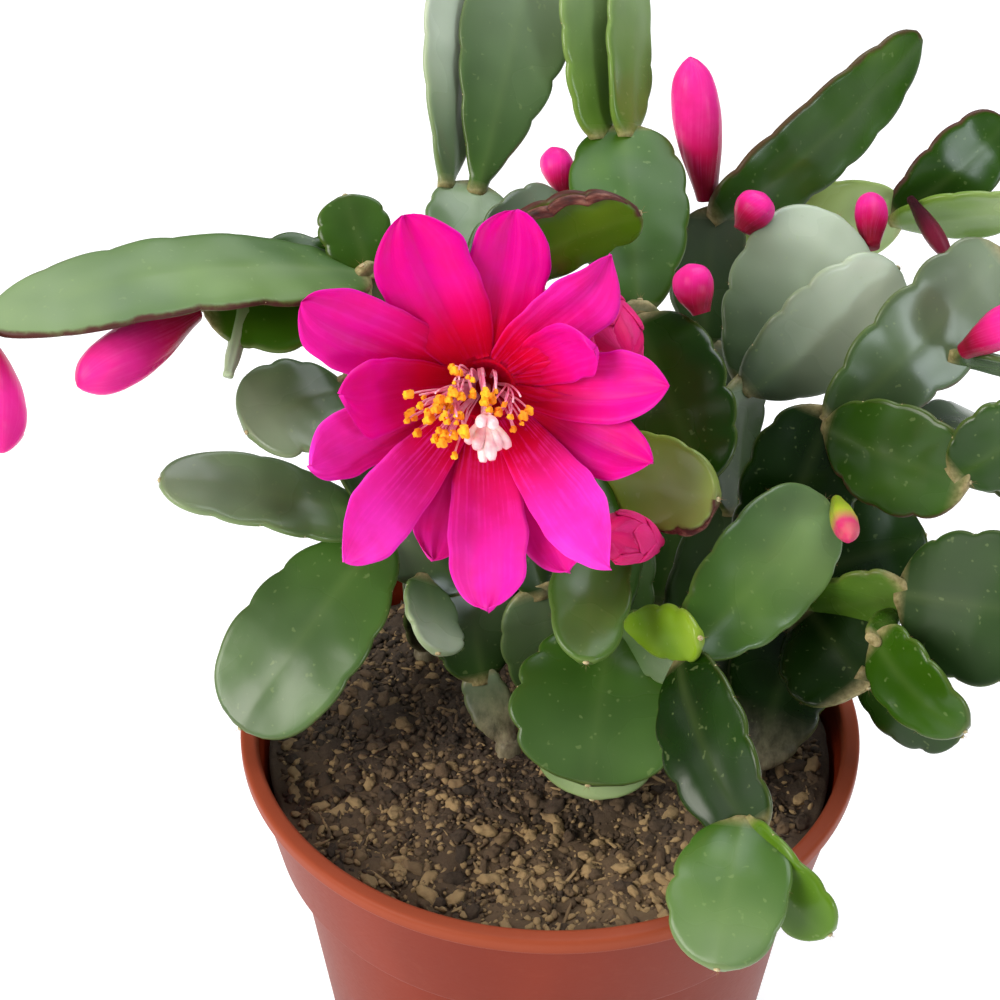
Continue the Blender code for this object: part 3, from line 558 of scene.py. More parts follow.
def pad_colour(tree, cloud, brown):
    """Green flesh under grey wax that is partly painted sheen, with painted shade on pads in deep
    shadow, and with its midrib, freckles, rim, dried margin, cork and bark.
    """
    freckle = ramp(tree, grit(tree, 0.55, 1.0, 0.4), ((0.7, 0.0), (0.76, 1.0)))
    cork = ramp(tree, grit(tree, 0.5, 4.0, 0.65), ((0.3, "#75653c"), (0.7, "#bfae7e")))
    bark = ramp(tree, grit(tree, 0.9, 5.0, 0.7, (1.0, 1.0, 0.3)),
                ((0.3, "#41392b"), (0.7, "#8d8569")))
    # The darkest tones also paint the shade of pads that lie in deep shadow
    tone = plus(tree, scaled(tree, mark(tree, "tone"), 0.5, 0.5), scaled(tree, cloud, 0.5, -0.25),
                clamp=True)
    flesh = ramp(tree, tone, (
        (0.0, "#0b2002"), (0.25, "#1d3c04"), (0.5, "#345a08"), (0.75, "#5e8216"), (1.0, "#94b028"),
    ))
    return layered(tree, flesh, (
        # The grey of thick wax, which also paints the sheen and highlights of light on the pad
        (times(tree, mark(tree, "bloom"), scaled(tree, cloud, 0.8, 0.5), clamp=True), "#bfcbb4"),
        (times(tree, mark(tree, "rib"), 0.07), "#9fb46c"),
        (times(tree, freckle, 0.14), "#a7bb78"),
        (times(tree, fade(tree, mark(tree, "inset"), 0.05, 0.5), 0.14), "#90a257"),
        (brown, "#4b241c"),
        (times(tree, mark(tree, "joint"), 0.8, clamp=True), cork),
        (mark(tree, "wood"), bark),
    ))


def pad_skin():
    """Cladode epidermis, the skin of a stem's flat joint: a grown waxy cuticle over watery green
    flesh. The eye gets a broad soft sheen, a grey of thick wax that is partly painted sheen and
    highlight and lies thicker towards the tip, a corky tan joint, a thin paler rim and a margin
    that dries brown."""
    made, tree, shader = new_material(
        "waxy cladode epidermis", IOR=1.42, Specular_IOR_Level=0.36, Subsurface_Weight=0.04,
        Subsurface_Scale=0.0015, Subsurface_Radius=(0.5, 1.0, 0.2), Coat_Weight=0.04,
        Coat_Roughness=0.2,
    )
    cloud = grit(tree, 9.0, 2.0, 0.5)
    ragged = maths(tree, "SUBTRACT", mark(tree, "inset"), times(tree, grit(tree, 1.6, 4.0), 1.6))
    brown = times(tree, fade(tree, ragged, -0.75, 0.15), mark(tree, "brown"), clamp=True)
    tree.links.new(pad_colour(tree, cloud, brown), shader.inputs["Base Color"])
    dull = plus(tree, plus(tree, mark(tree, "wood"), mark(tree, "joint")), brown)
    dull = plus(tree, dull, mark(tree, "matt"), clamp=True)
    rough = scaled(tree, dull, 0.35, scaled(tree, cloud, 0.2, 0.16), clamp=True)
    tree.links.new(rough, shader.inputs["Roughness"])
    soft = bumped(tree, shader, grit(tree, 3.0, 2.0, 0.5), 0.14, 0.5)
    bumped(tree, shader, grit(tree, 0.2, 2.0, 0.5), 0.012, 0.5, soft)
    return made


def withered_skin():
    """Withered cladode margin: skin that has dried out and shrunk into ridges. It looks like
    reddish brown leather with hardly any gloss, painted pale on its ridges as a highlight and dark
    between them as shade."""
    made, tree, shader = new_material("withered cladode margin", Roughness=0.62)
    ridges = grit(tree, 0.7, 4.0, 0.65, (0.35, 1.0, 1.0))
    # The ridges' height also sets the colour: painted highlight on the ridges, painted shade in the
    # hollows
    colour = ramp(tree, ridges, ((0.3, "#2a120e"), (0.52, "#5a2a20"), (0.75, "#a2705c")))
    tree.links.new(colour, shader.inputs["Base Color"])
    bumped(tree, shader, ridges, 0.35, 0.9)
    return made


def petal_skin(name, root, throat, body, pale, roughness, streaks=0.02):
    """Petal skin: a thin film of coloured sap cells over air. The eye gets a satin magenta that
    glows where light comes through, fine lengthwise veins, a redder throat, paler rims and pale
    patches that are partly painted highlight."""
    made, tree, shader = new_material(
        name, IOR=1.3, Specular_IOR_Level=0.2, Subsurface_Weight=0.22, Subsurface_Scale=0.0015,
        Subsurface_Radius=(1.0, 0.1, 0.5), Roughness=roughness, Sheen_Weight=0.03,
        Sheen_Roughness=0.4, Sheen_Tint=linear("#ff50c8"),
    )
    along, light = mark(tree, "along"), mark(tree, "pale")
    strand = node(tree, "ShaderNodeTexNoise", {
        "W": times(tree, mark(tree, "across"), 7.0), "Scale": 1.0, "Detail": 3.0,
    }, noise_dimensions="1D").outputs["Fac"]
    broken = times(tree, strand, scaled(tree, grit(tree, 1.8, 4.0), 1.3, 0.35))
    streak = ramp(tree, broken, ((0.5, 0.0), (0.66, 1.0)))
    # Pale patches: partly the petals' own paler violet-pink and partly painted highlight
    patch = times(tree, light, scaled(tree, grit(tree, 4.0, 2.0), 0.8, 0.5), clamp=True)
    shade = maths(tree, "SUBTRACT", grit(tree, 3.5, 3.0), 0.45, clamp=True)
    colour = layered(tree, ramp(tree, along, ((0.09, root), (0.26, throat), (0.6, body))), (
        (times(tree, patch, scaled(tree, along, 1.9, -0.35, clamp=True), clamp=True), pale),
        (times(tree, streak, scaled(tree, light, 0.4, streaks), clamp=True), pale),
        (times(tree, fade(tree, mark(tree, "inset"), 0.05, 0.4), 0.14), pale),
        (times(tree, shade, 1.2), throat),
    ))
    tree.links.new(colour, shader.inputs["Base Color"])
    veins = bumped(tree, shader, strand, 0.1, 0.45)
    bumped(tree, shader, grit(tree, 0.16, 2.0), 0.01, 0.4, veins)
    return made


def moulded_plastic():
    """Polypropylene, injection moulded and terracotta-coloured: satin, with faint flow marks, a
    film of dust, fine scuffs that run round the pot and a painted highlight that makes the lip
    paler."""
    made, tree, shader = new_material(
        "moulded terracotta polypropylene", IOR=1.46, Specular_IOR_Level=0.1)
    flow = grit(tree, 12.0, 3.0, 0.5, (1.0, 1.0, 0.35))
    dust = ramp(tree, grit(tree, 1.4, 5.0, 0.7), ((0.55, 0.0), (0.85, 1.0)))
    # The lip's top is painted paler: a painted highlight
    below_lip = fade(tree, spot_along(tree, "Z"), 86 * MM, 89 * MM)
    colour = ramp(tree, flow, ((0.25, "#6c200c"), (0.55, "#75250f"), (0.8, "#7f2a13")))
    colour = layered(tree, colour, (
        (times(tree, dust, 0.1), "#a8664c"),
        (scaled(tree, below_lip, -0.45, 0.45), "#a8583c"),
    ))
    tree.links.new(colour, shader.inputs["Base Color"])
    scuff = grit(tree, 0.6, 4.0, 0.65, (1.0, 1.0, 5.0))
    tree.links.new(scaled(tree, scuff, 0.22, 0.32), shader.inputs["Roughness"])
    coarse = bumped(tree, shader, grit(tree, 8.0, 2.0), 0.1, 0.35)
    bumped(tree, shader, grit(tree, 0.2, 2.0), 0.01, 0.4, coarse)
    return made


def compost():
    """Potting compost: composted bark and peat, screened and moist. It gives dark brown crumbs
    with scattered tan and straw-coloured bits, painted paler towards the front where light falls
    on it, and no gloss."""
    made, tree, shader = new_material("moist bark compost", Roughness=0.92)
    # Painted light: the compost is made paler towards the front, where light falls on it
    front = fade(tree, spot_along(tree, "Y"), -45 * MM, 5 * MM)
    patch = plus(tree, mark(tree, "pick"), scaled(tree, grit(tree, 14.0), 0.9, -0.45))
    patch = plus(tree, patch, times(tree, front, 0.4), clamp=True)
    crumbs = ramp(tree, patch, (
        (0.0, "#1c150e"), (0.4, "#3a2d21"), (0.72, "#5c4933"), (0.93, "#7e6747"), (1.0, "#9c8259"),
    ))
    speck = ramp(tree, grit(tree, 0.3, 4.0, 0.7), ((0.35, 0.0), (0.8, 1.0)))
    colour = mixed(tree, times(tree, speck, 0.3), crumbs, "#6d5a42")
    tree.links.new(colour, shader.inputs["Base Color"])
    bumped(tree, shader, grit(tree, 0.4, 5.0, 0.75), 0.3, 0.9)
    return made


def felt(name, low, high, size_mm, roughness=0.85, depth_mm=0.06):
    """A small matte or powdery part whose colour wanders between two shades."""
    made, tree, shader = new_material(
        name, Roughness=roughness, Subsurface_Weight=0.1, Subsurface_Scale=0.0008)
    lumps = grit(tree, size_mm)
    tree.links.new(ramp(tree, lumps, ((0.3, low), (0.7, high))), shader.inputs["Base Color"])
    bumped(tree, shader, lumps, depth_mm, 0.7)
    return made


class Skin:
    """Gathers closed skins lofted over rings of points, each point with its marks."""

    def __init__(self, *marks):
        self.points, self.faces, self.marks = [], [], {name: [] for name in marks}

    def add(self, rings, **marks):
        """rings is rows x ring x 3; a mark is one number, or rows x ring of them."""
        rows, ring = rings.shape[:2]
        start = len(self.points)
        self.points.extend(map(tuple, rings.reshape(-1, 3)))
        self.points.append(tuple(rings[0].mean(0)))
        self.points.append(tuple(rings[-1].mean(0)))
        for name, store in self.marks.items():
            values = np.broadcast_to(np.asarray(marks.get(name, 0.0), float), (rows, ring))
            store.extend(values.reshape(-1))
            store.append(values[0].mean())
            store.append(values[-1].mean())
        for r in range(rows - 1):
            for i in range(ring):
                j = (i + 1) % ring
                a, b = start + r * ring, start + (r + 1) * ring
                self.faces.append((a + i, a + j, b + j, b + i))
        foot, head = start + rows * ring, start + rows * ring + 1
        last = start + (rows - 1) * ring
        for i in range(ring):
            j = (i + 1) % ring
            self.faces.append((foot, start + j, start + i))
            self.faces.append((head, last + i, last + j))

    def piece(self, name, material):
        mesh = bpy.data.meshes.new(name)
        mesh.from_pydata([tuple(c * MM for c in p) for p in self.points], [], self.faces)
        for mark_name, values in self.marks.items():
            layer = mesh.attributes.new(mark_name, "FLOAT", "POINT")
            layer.data.foreach_set("value", np.array(values, np.float32))
        mesh.materials.append(material)
        return placed(name, mesh)


def placed(name, mesh):
    """A linked object whose faces are smooth and point outwards."""
    bm = bmesh.new()
    bm.from_mesh(mesh)
    bmesh.ops.recalc_face_normals(bm, faces=bm.faces)
    bm.to_mesh(mesh)
    bm.free()
    mesh.shade_smooth()
    return linked(name, mesh)


def linked(name, mesh):
    obj = bpy.data.objects.new(name, mesh)
    bpy.context.scene.collection.objects.link(obj)
    return obj


def settle(obj, slot, *nodes):
    """The piece rides on the one body and stands for its solids, which are hidden; slot is not
    used.
    """
    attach(obj, "root")
    if nodes:
        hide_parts(*nodes)


def arr(*vectors):
    return [np.array(v) for v in vectors]


def wander(x, y, z=0.0, seed=(0.0, 0.0, 0.0)):
    """Smooth noise between -1 and 1, read at a spot that the seed moves."""
    return noise.noise(Vector((x, y, z)) + Vector(seed))


def ring_turn(count):
    return np.linspace(0, 2 * math.pi, count, endpoint=False)


def level_ring(radius, turn, height, x=0.0, y=0.0):
    """Points at one height, turned round the upright line through x and y."""
    across, back = x + radius * np.cos(turn), y + radius * np.sin(turn)
    return np.stack((across, back, np.full(len(turn), height)), 1)


def stood_up(rings, foot, tip):
    """Rings drawn upwards from the origin, stood on foot and leaning to tip."""
    lean = (tip - foot).to_track_quat("Z", "Y").to_matrix()
    return np.array(rings) @ np.array(lean).T + np.array(foot)


def tube_rings(path, radii, count, flat=1.0):
    """Rings of points along a path, carried on without twisting."""
    rings = []
    ahead = (path[1] - path[0]).normalized()
    side = ahead.orthogonal().normalized()
    turn = ring_turn(count)
    for i, point in enumerate(path):
        ahead = (path[min(len(path) - 1, i + 1)] - path[max(0, i - 1)]).normalized()
        side = (side - ahead * side.dot(ahead)).normalized()
        up = ahead.cross(side)
        p, s, u = arr(point, side, up)
        wide, deep = radii[i] * np.cos(turn), radii[i] * np.sin(turn) * flat
        rings.append(p + np.outer(wide, s) + np.outer(deep, u))
    return np.array(rings)


def curved(start, control, end, steps):
    ts = [i / steps for i in range(steps + 1)]
    return [start * (1 - t) ** 2 + control * (2 * t * (1 - t)) + end * t ** 2 for t in ts]


def pad_half(t, width, shape, lobes=LOBES, drift=0.0, depth=0.0, swell=0.0):
    """Half the pad's width at t of its length: a blunt oval with scalloped edges. drift moves the
    scallops along, depth deepens them and swell widens the side."""
    oval = max(0.0, 1 - abs(2 * t ** shape - 1) ** PAD_BLUNTNESS) ** (1 / PAD_BLUNTNESS)
    notch = 1 - abs(math.sin(math.pi * lobes * (t + drift))) ** SCALLOP_SHARPNESS
    scallop = 1 - NOTCH * (1 + depth) * notch + swell
    end = NECK_HALF if t < 0.5 else TIP_HALF
    return max(width / 2 * oval * scallop, min(end, width / 2 * 0.6))


class Blade:
    """Where a pad lies: its spine, its face's direction and its width."""

    def __init__(self, base, pad, faces):
        self.base, self.tip, self.width = base, pad.tip, pad.width
        self.bow, self.shape = pad.bow, pad.shape
        self.length = (self.tip - base).length
        self.lobes = LOBES + sum(self.length > limit for limit in LONGER_PADS)
        self.axis = (self.tip - base).normalized()
        towards = (faces - (base + self.tip) / 2).normalized()
        facing = (towards - self.axis * towards.dot(self.axis)).normalized()
        self.face = Matrix.Rotation(math.radians(pad.turn), 3, self.axis) @ facing
        self.cross = self.axis.cross(self.face)
        dice = random.Random(pad.name)
        self.seed = Vector([dice.uniform(0, 90) for _ in range(3)])

    def spine(self, t):
        return self.base.lerp(self.tip, t) + self.face * (self.bow * 4 * t * (1 - t))

    def edge(self, t, side):
        return self.spine(t) + self.cross * (side * pad_half(t, self.width, self.shape))

    def lift(self, share, half, t, curl):
        """How far the face rises off the spine's plane: dished, wavy and faintly rippled."""
        middle = min(1.0, 5 * min(t, 1 - t))
        wave = WAVE * self.noise(40 + share * 1.1, t * 2.4) * share ** 2
        ripple = RIPPLE * self.noise(60 + share * half * 0.16, t * self.length * 0.16)
        return middle * (curl * half * share ** 2 + wave + ripple)

    def noise(self, x, y=0.0):
        return wander(x, y, seed=self.seed)

    def rim_half(self, t, side):
        """The side's own half width: no two scallops are the same depth or quite evenly spaced."""
        own = 20 * side
        middle = 4 * t * (1 - t)
        drift = SCALLOP_DRIFT / self.lobes * self.noise(own, t * 2.2) * middle
        depth = SCALLOP_SPREAD * self.noise(own + 5, t * 2.6)
        swell = SIDE_SWELL * self.noise(own + 9, t * 1.7) * middle
        return pad_half(t, self.width, self.shape, self.lobes, drift, depth, swell)

    def rim(self, t, side):
        return self.spine(t) + self.cross * (side * self.rim_half(t, side))


def blades_of(stem):
    """Every pad of a stem laid out, each with its neck sunk into the pad that it grows from."""
    laid = {}
    foot = Vector((*stem.root, SOIL_TOP + COLLAR_OF_ROOT - 1.0))
    for pad in stem.pads:
        if pad.parent is None:
            base = foot
        elif pad.along < 1:
            base = laid[pad.parent].edge(pad.along, pad.side * 0.75)
        else:
            parent = laid[pad.parent]
            sunk = 1 - SINK / (parent.tip - parent.base).length
            base = parent.edge(sunk, pad.side * 0.8)
        laid[pad.name] = Blade(base, pad, stem.faces)
    return laid


def around_pad():
    """Each ring point's share of the way from spine to rim, and 1 or -1 for the face it is on."""
    inner = np.array(PAD_ACROSS)
    across = np.concatenate((-inner[:0:-1], inner))
    share = np.concatenate((across, across[-2:0:-1]))
    return share, np.repeat((1, -1), (len(across), len(across) - 2))


def pad_ring(blade, look, t, share, side):
    """The points round the pad at t, and how far each is from the spine and from the rim."""
    half = np.where(share < 0, blade.rim_half(t, -1), blade.rim_half(t, 1))
    x, reach = share * half, np.abs(share)
    rib = RIB_HALF + (TIP_RIB_HALF - RIB_HALF) * t
    thick = EDGE_HALF + 0.15 + (rib * 0.8 - EDGE_HALF) * (1 - reach ** 2.2)
    wide = np.maximum(half, 2 * EDGE_ROLL)
    roll = np.clip((reach - 1) * wide / EDGE_ROLL + 1, 0, 1)
    thick = thick * np.sqrt(np.maximum(0.0, 1 - roll ** 2)) + rib * 0.08 * np.exp(-((x / 1.2) ** 2))
    lift = np.array([blade.lift(s, h, t, look.curl) for s, h in zip(share, half)])
    spine, cross, face = arr(blade.spine(t), blade.cross, blade.face)
    return spine + np.outer(x, cross) + np.outer(side * thick + lift, face), x, half * (1 - reach)


def pad_marks(blade, look, t, share, x, from_rim, bears_more, first):
    """What the skin is told at each point round the pad at t."""
    past, left = t * blade.length, (1 - t) * blade.length
    dry = look.brown * (0.3 + 0.7 * t ** 3) * (0.5 if look.dry else 1.0)
    height = blade.spine(t).z - SOIL_TOP
    told = {
        "inset": np.minimum(from_rim, min(past + 0.5, left)),
        "rib": np.exp(-((x / 0.9) ** 2)) * (1 - 0.7 * t),
        "joint": max(1 - past / 2.2, bears_more * (1 - left / 2.4), 0.0),
        "brown": np.where(look.dry * share > 0, min(1.0, look.brown * 1.3), dry),
        "wood": min(1.0, max(0.0, first * (1.25 - height / 9))),
        "tone": look.tone + 0.2 * (t - 0.5),
        # The grey of wax grows towards the tip: partly painted highlight on a pad's lit end,
        # painted shade at its foot
        "bloom": look.bloom * (0.1 + 0.9 * min(1.0, t * 1.2) ** 1.8) * (1 - 0.3 * share ** 4),
        "matt": look.matt,
    }
    return [np.broadcast_to(told[name], len(share)) for name in PAD_MARKS]


def draw_pad(skin, blade, look, bears_more, first):
    """One pad in full: scalloped outline, faint midrib, rounded margin and a gently wavy face."""
    share, side = around_pad()
    rings, marks = [], []
    for t in np.linspace(0, 1, blade.lobes * PAD_STEPS_PER_LOBE + 1):
        ring, x, from_rim = pad_ring(blade, look, t, share, side)
        rings.append(ring)
        marks.append(pad_marks(blade, look, t, share, x, from_rim, bears_more, first))
    skin.add(np.array(rings), **dict(zip(PAD_MARKS, np.swapaxes(marks, 0, 1))))


def draw_root(skin, stem):
    """The round woody foot where the stem goes into the compost."""
    turn = ring_turn(ROOT_SIDES)
    rings = []
    for height, swell in ((-9.5, 0.85), (-1.5, 0.97), (0.5, 1.0), (1.8, 0.94), (2.6, 0.7)):
        radius = ROOT_RADIUS * swell * (0.95 + 0.05 * np.sin(3 * turn + height))
        rings.append(level_ring(radius, turn, SOIL_TOP + height, *stem.root))
    skin.add(np.array(rings), wood=1.0, tone=-0.5, inset=3.0)


def draw_withered(skin, blade, side, start, end, radius):
    """A dried margin rolled up along the pad's edge, ridged and of uneven thickness."""
    path, radii = [], []
    turn = ring_turn(WITHERED_SIDES)
    for i in range(WITHERED_STEPS + 1):
        done = i / WITHERED_STEPS
        t = start + (end - start) * done
        sway = blade.face * (0.4 + 0.8 * blade.noise(70, t * 5))
        sway += blade.cross * (0.5 * blade.noise(75, t * 6) - side * radius * 0.5)
        path.append(blade.rim(t, side) + sway)
        swell = min(1.0, 6 * min(done + 0.04, 1.03 - done)) * (1 + 0.35 * blade.noise(80, t * 7))
        folds = 1 + 0.2 * np.sin(4 * turn + 3 * t) + 0.1 * np.sin(7 * turn - 9 * t)
        radii.append(radius * swell * folds)
    skin.add(tube_rings(path, radii, WITHERED_SIDES, 0.75))


def areoles_of(blade, look):
    """The felted points in the notches and on the tip, each with the way it faces and its size."""
    found = []
    if blade.width < NARROWEST_WITH_AREOLES:
        return found
    for k in range(1, blade.lobes):
        t = k / blade.lobes
        for side in (-1, 1):
            way = (blade.cross * side + blade.axis * 0.5).normalized()
            rise = blade.lift(side, blade.rim_half(t, side), t, look.curl)
            spot = blade.rim(t, side) - blade.cross * (side * 0.2) + blade.face * rise
            found.append((spot, way, NOTCH_TUFT))
    found.append((blade.tip + blade.axis * 0.1, blade.axis, TIP_TUFT))
    return found


def tree_of(name, *sockets):
    """An empty Geometry Nodes tree, the sockets of its named inputs, and its output."""
    tree = bpy.data.node_groups.new(name, "GeometryNodeTree")
    tree.interface.new_socket("Geometry", in_out="INPUT", socket_type="NodeSocketGeometry")
    for label, kind in sockets:
        tree.interface.new_socket(label, in_out="INPUT", socket_type="NodeSocket" + kind)
    tree.interface.new_socket("Geometry", in_out="OUTPUT", socket_type="NodeSocketGeometry")
    given = tree.nodes.new("NodeGroupInput").outputs
    return tree, given, tree.nodes.new("NodeGroupOutput").inputs[0]


def grown(name, base, tree, **values):
    """The plain mesh that the tree grows from base, which is used up."""
    step = base.modifiers.new("grow", "NODES")
    step.node_group = tree
    for item in tree.interface.items_tree:
        key = item.name.replace(" ", "_")
        if item.in_out == "INPUT" and key in values:
            step[item.identifier] = values[key]
    graph = bpy.context.evaluated_depsgraph_get()
    mesh = bpy.data.meshes.new_from_object(base.evaluated_get(graph))
    base.modifiers.clear()
    bpy.data.objects.remove(base)
    mesh.name = name
    return linked(name, mesh)


def points_piece(name, points, edges=(), **marks):
    """Loose points, or paths of them, in metres and with their marks, for a tree to grow on."""
    mesh = bpy.data.meshes.new(name)
    mesh.from_pydata([tuple(Vector(p) * MM) for p in points], list(edges), [])
    for mark_name, values in marks.items():
        values = np.array(values, np.float32)
        kind, field = ("FLOAT_VECTOR", "vector") if values.ndim > 1 else ("FLOAT", "value")
        layer = mesh.attributes.new(mark_name, kind, "POINT")
        layer.data.foreach_set(field, values.ravel())
    return linked(name, mesh)


def named(tree, name, kind="FLOAT"):
    made = node(tree, "GeometryNodeInputNamedAttribute", {"Name": name}, data_type=kind)
    return made.outputs["Attribute"]


def joined(tree, *parts):
    made = node(tree, "GeometryNodeJoinGeometry")
    for part in parts:
        tree.links.new(part, made.inputs[0])
    return made.outputs[0]


def coated(tree, geometry, finish):
    made = node(tree, "GeometryNodeSetMaterial", {"Geometry": geometry, "Material": finish})
    return made.outputs[0]


def smoothed(tree, geometry):
    return node(tree, "GeometryNodeSetShadeSmooth", {0: geometry}).outputs[0]


def ball(tree, radius, fineness):
    made = node(tree, "GeometryNodeMeshIcoSphere", {"Radius": radius, "Subdivisions": fineness})
    return made.outputs["Mesh"]


def moved(tree, shape, **how):
    """The shape with a Scale or a Rotation."""
    return node(tree, "GeometryNodeTransform", {"Geometry": shape, **how}).outputs[0]


def facing(tree):
    """The turn that points a shape the way its place's mark says."""
    way = named(tree, "way", "FLOAT_VECTOR")
    return node(tree, "FunctionNodeAlignRotationToVector", {"Vector": way}).outputs[0]


def copies(tree, places, shape, turn, size, **where):
    return node(tree, "GeometryNodeInstanceOnPoints", {
        "Points": places, "Instance": shape, "Rotation": turn, "Scale": size, **where,
    }).outputs[0]


def real(tree, geometry):
    return node(tree, "GeometryNodeRealizeInstances", {0: geometry}).outputs[0]


def drawn(tree, low, high, seed):
    """A vector drawn for each point between low and high."""
    return node(tree, "FunctionNodeRandomValue", {0: low, 1: high, "Seed": seed},
                data_type="FLOAT_VECTOR").outputs[0]


def lumpy(tree, shape, scale, reach):
    """The shape with its points pushed about by noise, reach far at the most."""
    lump = node(tree, "ShaderNodeTexNoise", {"Scale": scale, "Detail": 1.0})
    push = node(tree, "ShaderNodeVectorMath", {0: lump.outputs["Color"], 1: (0.5, 0.5, 0.5)},
                operation="SUBTRACT").outputs[0]
    push = node(tree, "ShaderNodeVectorMath", {0: push, "Scale": reach}, operation="SCALE")
    moves = {"Geometry": shape, "Offset": push.outputs[0]}
    return node(tree, "GeometryNodeSetPosition", moves).outputs[0]


def tuft_tree():
    """A flat cushion of wool with three stiff bristles on every point, turned the way it faces."""
    tree, given, out = tree_of("areole tufts", ("Wool", "Float"), ("Bristle", "Float"),
                               ("Wool finish", "Material"), ("Bristle finish", "Material"))
    dome = moved(tree, ball(tree, given["Wool"], 2), Scale=(1.2, 0.9, 0.6))
    hair = node(tree, "GeometryNodeMeshCone", {
        "Vertices": 5, "Radius Top": 0.0, "Radius Bottom": BRISTLE_RADIUS * MM,
        "Depth": given["Bristle"],
    }).outputs["Mesh"]
    leans = [(0.6 * math.cos(way), 0.6 * math.sin(way), 0.0) for way in (0.0, 2.1, 4.2)]
    sheaf = joined(tree, *[moved(tree, hair, Rotation=lean) for lean in leans])
    turn, size = facing(tree), named(tree, "size")
    kinds = ((smoothed(tree, dome), "Wool finish"), (sheaf, "Bristle finish"))
    parts = [coated(tree, copies(tree, given["Geometry"], shape, turn, size), given[finish])
             for shape, finish in kinds]
    tree.links.new(real(tree, joined(tree, *parts)), out)
    return tree


def crumb_tree():
    """Crumbs strewn over the base's faces, each squashed, turned and coloured at random."""
    tree, given, out = tree_of("compost crumbs", ("Size", "Float"), ("Density", "Float"),
                               ("Long", "Float"), ("Fineness", "Int"), ("Seed", "Int"),
                               ("Finish", "Material"))
    radius, seed = given["Size"], given["Seed"]
    places = node(tree, "GeometryNodeDistributePointsOnFaces", {
        "Mesh": given["Geometry"], "Density": given["Density"], "Seed": seed,
    }).outputs["Points"]
    crumb = lumpy(tree, ball(tree, radius, given["Fineness"]), 700.0, times(tree, radius, 1.1))
    turn = drawn(tree, (-0.5, -0.5, 0.0), (0.5, 0.5, 6.28), seed)
    stretch = node(tree, "ShaderNodeCombineXYZ", {"X": given["Long"], "Y": 1.0, "Z": 1.0})
    size = node(tree, "ShaderNodeVectorMath", {
        0: drawn(tree, (0.4, 0.4, 0.35), (1.3, 0.9, 0.8), seed), 1: stretch.outputs[0],
    }, operation="MULTIPLY").outputs[0]
    pick = node(tree, "FunctionNodeRandomValue", {"Seed": seed}, data_type="FLOAT")
    marked = node(tree, "GeometryNodeStoreNamedAttribute", {
        "Geometry": copies(tree, places, smoothed(tree, crumb), turn, size), "Name": "pick",
        "Value": pick.outputs[1],
    }, data_type="FLOAT", domain="INSTANCE")
    strewn = coated(tree, real(tree, marked.outputs[0]), given["Finish"])
    tree.links.new(strewn, out)
    return tree


def stamen_tree():
    """Each drawn path becomes a thread, with an anther where its size mark is above 0."""
    tree, given, out = tree_of("stamens", ("Thread", "Float"), ("Anther", "Float"),
                               ("Thread finish", "Material"), ("Anther finish", "Material"))
    paths = node(tree, "GeometryNodeMeshToCurve", {0: given["Geometry"]})
    section = node(tree, "GeometryNodeCurvePrimitiveCircle", {
        "Resolution": 6, "Radius": given["Thread"],
    })
    threads = node(tree, "GeometryNodeCurveToMesh", {
        "Curve": paths.outputs[0], "Profile Curve": section.outputs["Curve"], "Fill Caps": True,
    })
    sac = lumpy(tree, ball(tree, given["Anther"], 3), 1300.0, 1.15 * MM)
    sac = moved(tree, smoothed(tree, sac), Scale=(0.8, 0.8, 1.35))
    size = named(tree, "size")
    tips = node(tree, "FunctionNodeCompare", {0: size, 1: 0.1}, data_type="FLOAT",
                operation="GREATER_THAN").outputs[0]
    ends = copies(tree, given["Geometry"], sac, facing(tree), size, Selection=tips)
    both = joined(tree, coated(tree, smoothed(tree, threads.outputs[0]), given["Thread finish"]),
                  coated(tree, ends, given["Anther finish"]))
    tree.links.new(real(tree, both), out)
    return tree


def turned(profile, sides):
    """A closed body of revolution about Z from an outline of (radius, height), in metres."""
    bm = bmesh.new()
    rings = []
    for radius, height in profile:
        if radius == 0:
            rings.append([bm.verts.new((0, 0, height * MM))] * sides)
        else:
            ring = level_ring(radius, ring_turn(sides), height) * MM
            rings.append([bm.verts.new(Vector(point)) for point in ring])
    for low, high in zip(rings, rings[1:]):
        for i in range(sides):
            j = (i + 1) % sides
            corners = list(dict.fromkeys((low[i], low[j], high[j], high[i])))
            if len(corners) > 2:
                bm.faces.new(corners)
    bmesh.ops.recalc_face_normals(bm, faces=bm.faces)
    mesh = bpy.data.meshes.new("turned")
    bm.to_mesh(mesh)
    bm.free()
    return mesh


def rounded(corners, radius, steps=5):
    """An outline with each corner between its neighbours turned into a short arc."""
    out = [corners[0]]
    for before, corner, after in zip(corners, corners[1:], corners[2:]):
        a, b, c = (Vector((*p, 0)) for p in (before, corner, after))
        reach = min(radius, (a - b).length * 0.45, (c - b).length * 0.45)
        arc = curved(b + (a - b).normalized() * reach, b, b + (c - b).normalized() * reach, steps)
        out.extend((p.x, p.y) for p in arc)
    out.append(corners[-1])
    return out


def drilled(shell):
    """The shell's mesh with drain holes through its floor, midway between the channel's walls."""
    circle = sum(CHANNEL_RADII) / 2
    group = bpy.data.collections.new("drains")
    for i in range(DRAIN_COUNT):
        angle = 2 * math.pi * (i + 0.5) / DRAIN_COUNT
        bore = ((0, -2), (DRAIN_RADIUS, -2), (DRAIN_RADIUS, FLOOR + 2), (0, FLOOR + 2))
        hole = turned(bore, DRAIN_SIDES)
        spot = Vector((math.cos(angle), math.sin(angle), 0)) * circle * MM
        hole.transform(Matrix.Translation(spot))
        group.objects.link(bpy.data.objects.new(f"drain_{i}", hole))
    step = shell.modifiers.new("Drains", "BOOLEAN")
    step.operation, step.operand_type, step.collection = "DIFFERENCE", "COLLECTION", group
    graph = bpy.context.evaluated_depsgraph_get()
    mesh = bpy.data.meshes.new_from_object(shell.evaluated_get(graph))
    shell.modifiers.clear()
    for drain in list(group.objects):
        bpy.data.objects.remove(drain)
    bpy.data.collections.remove(group)
    return mesh


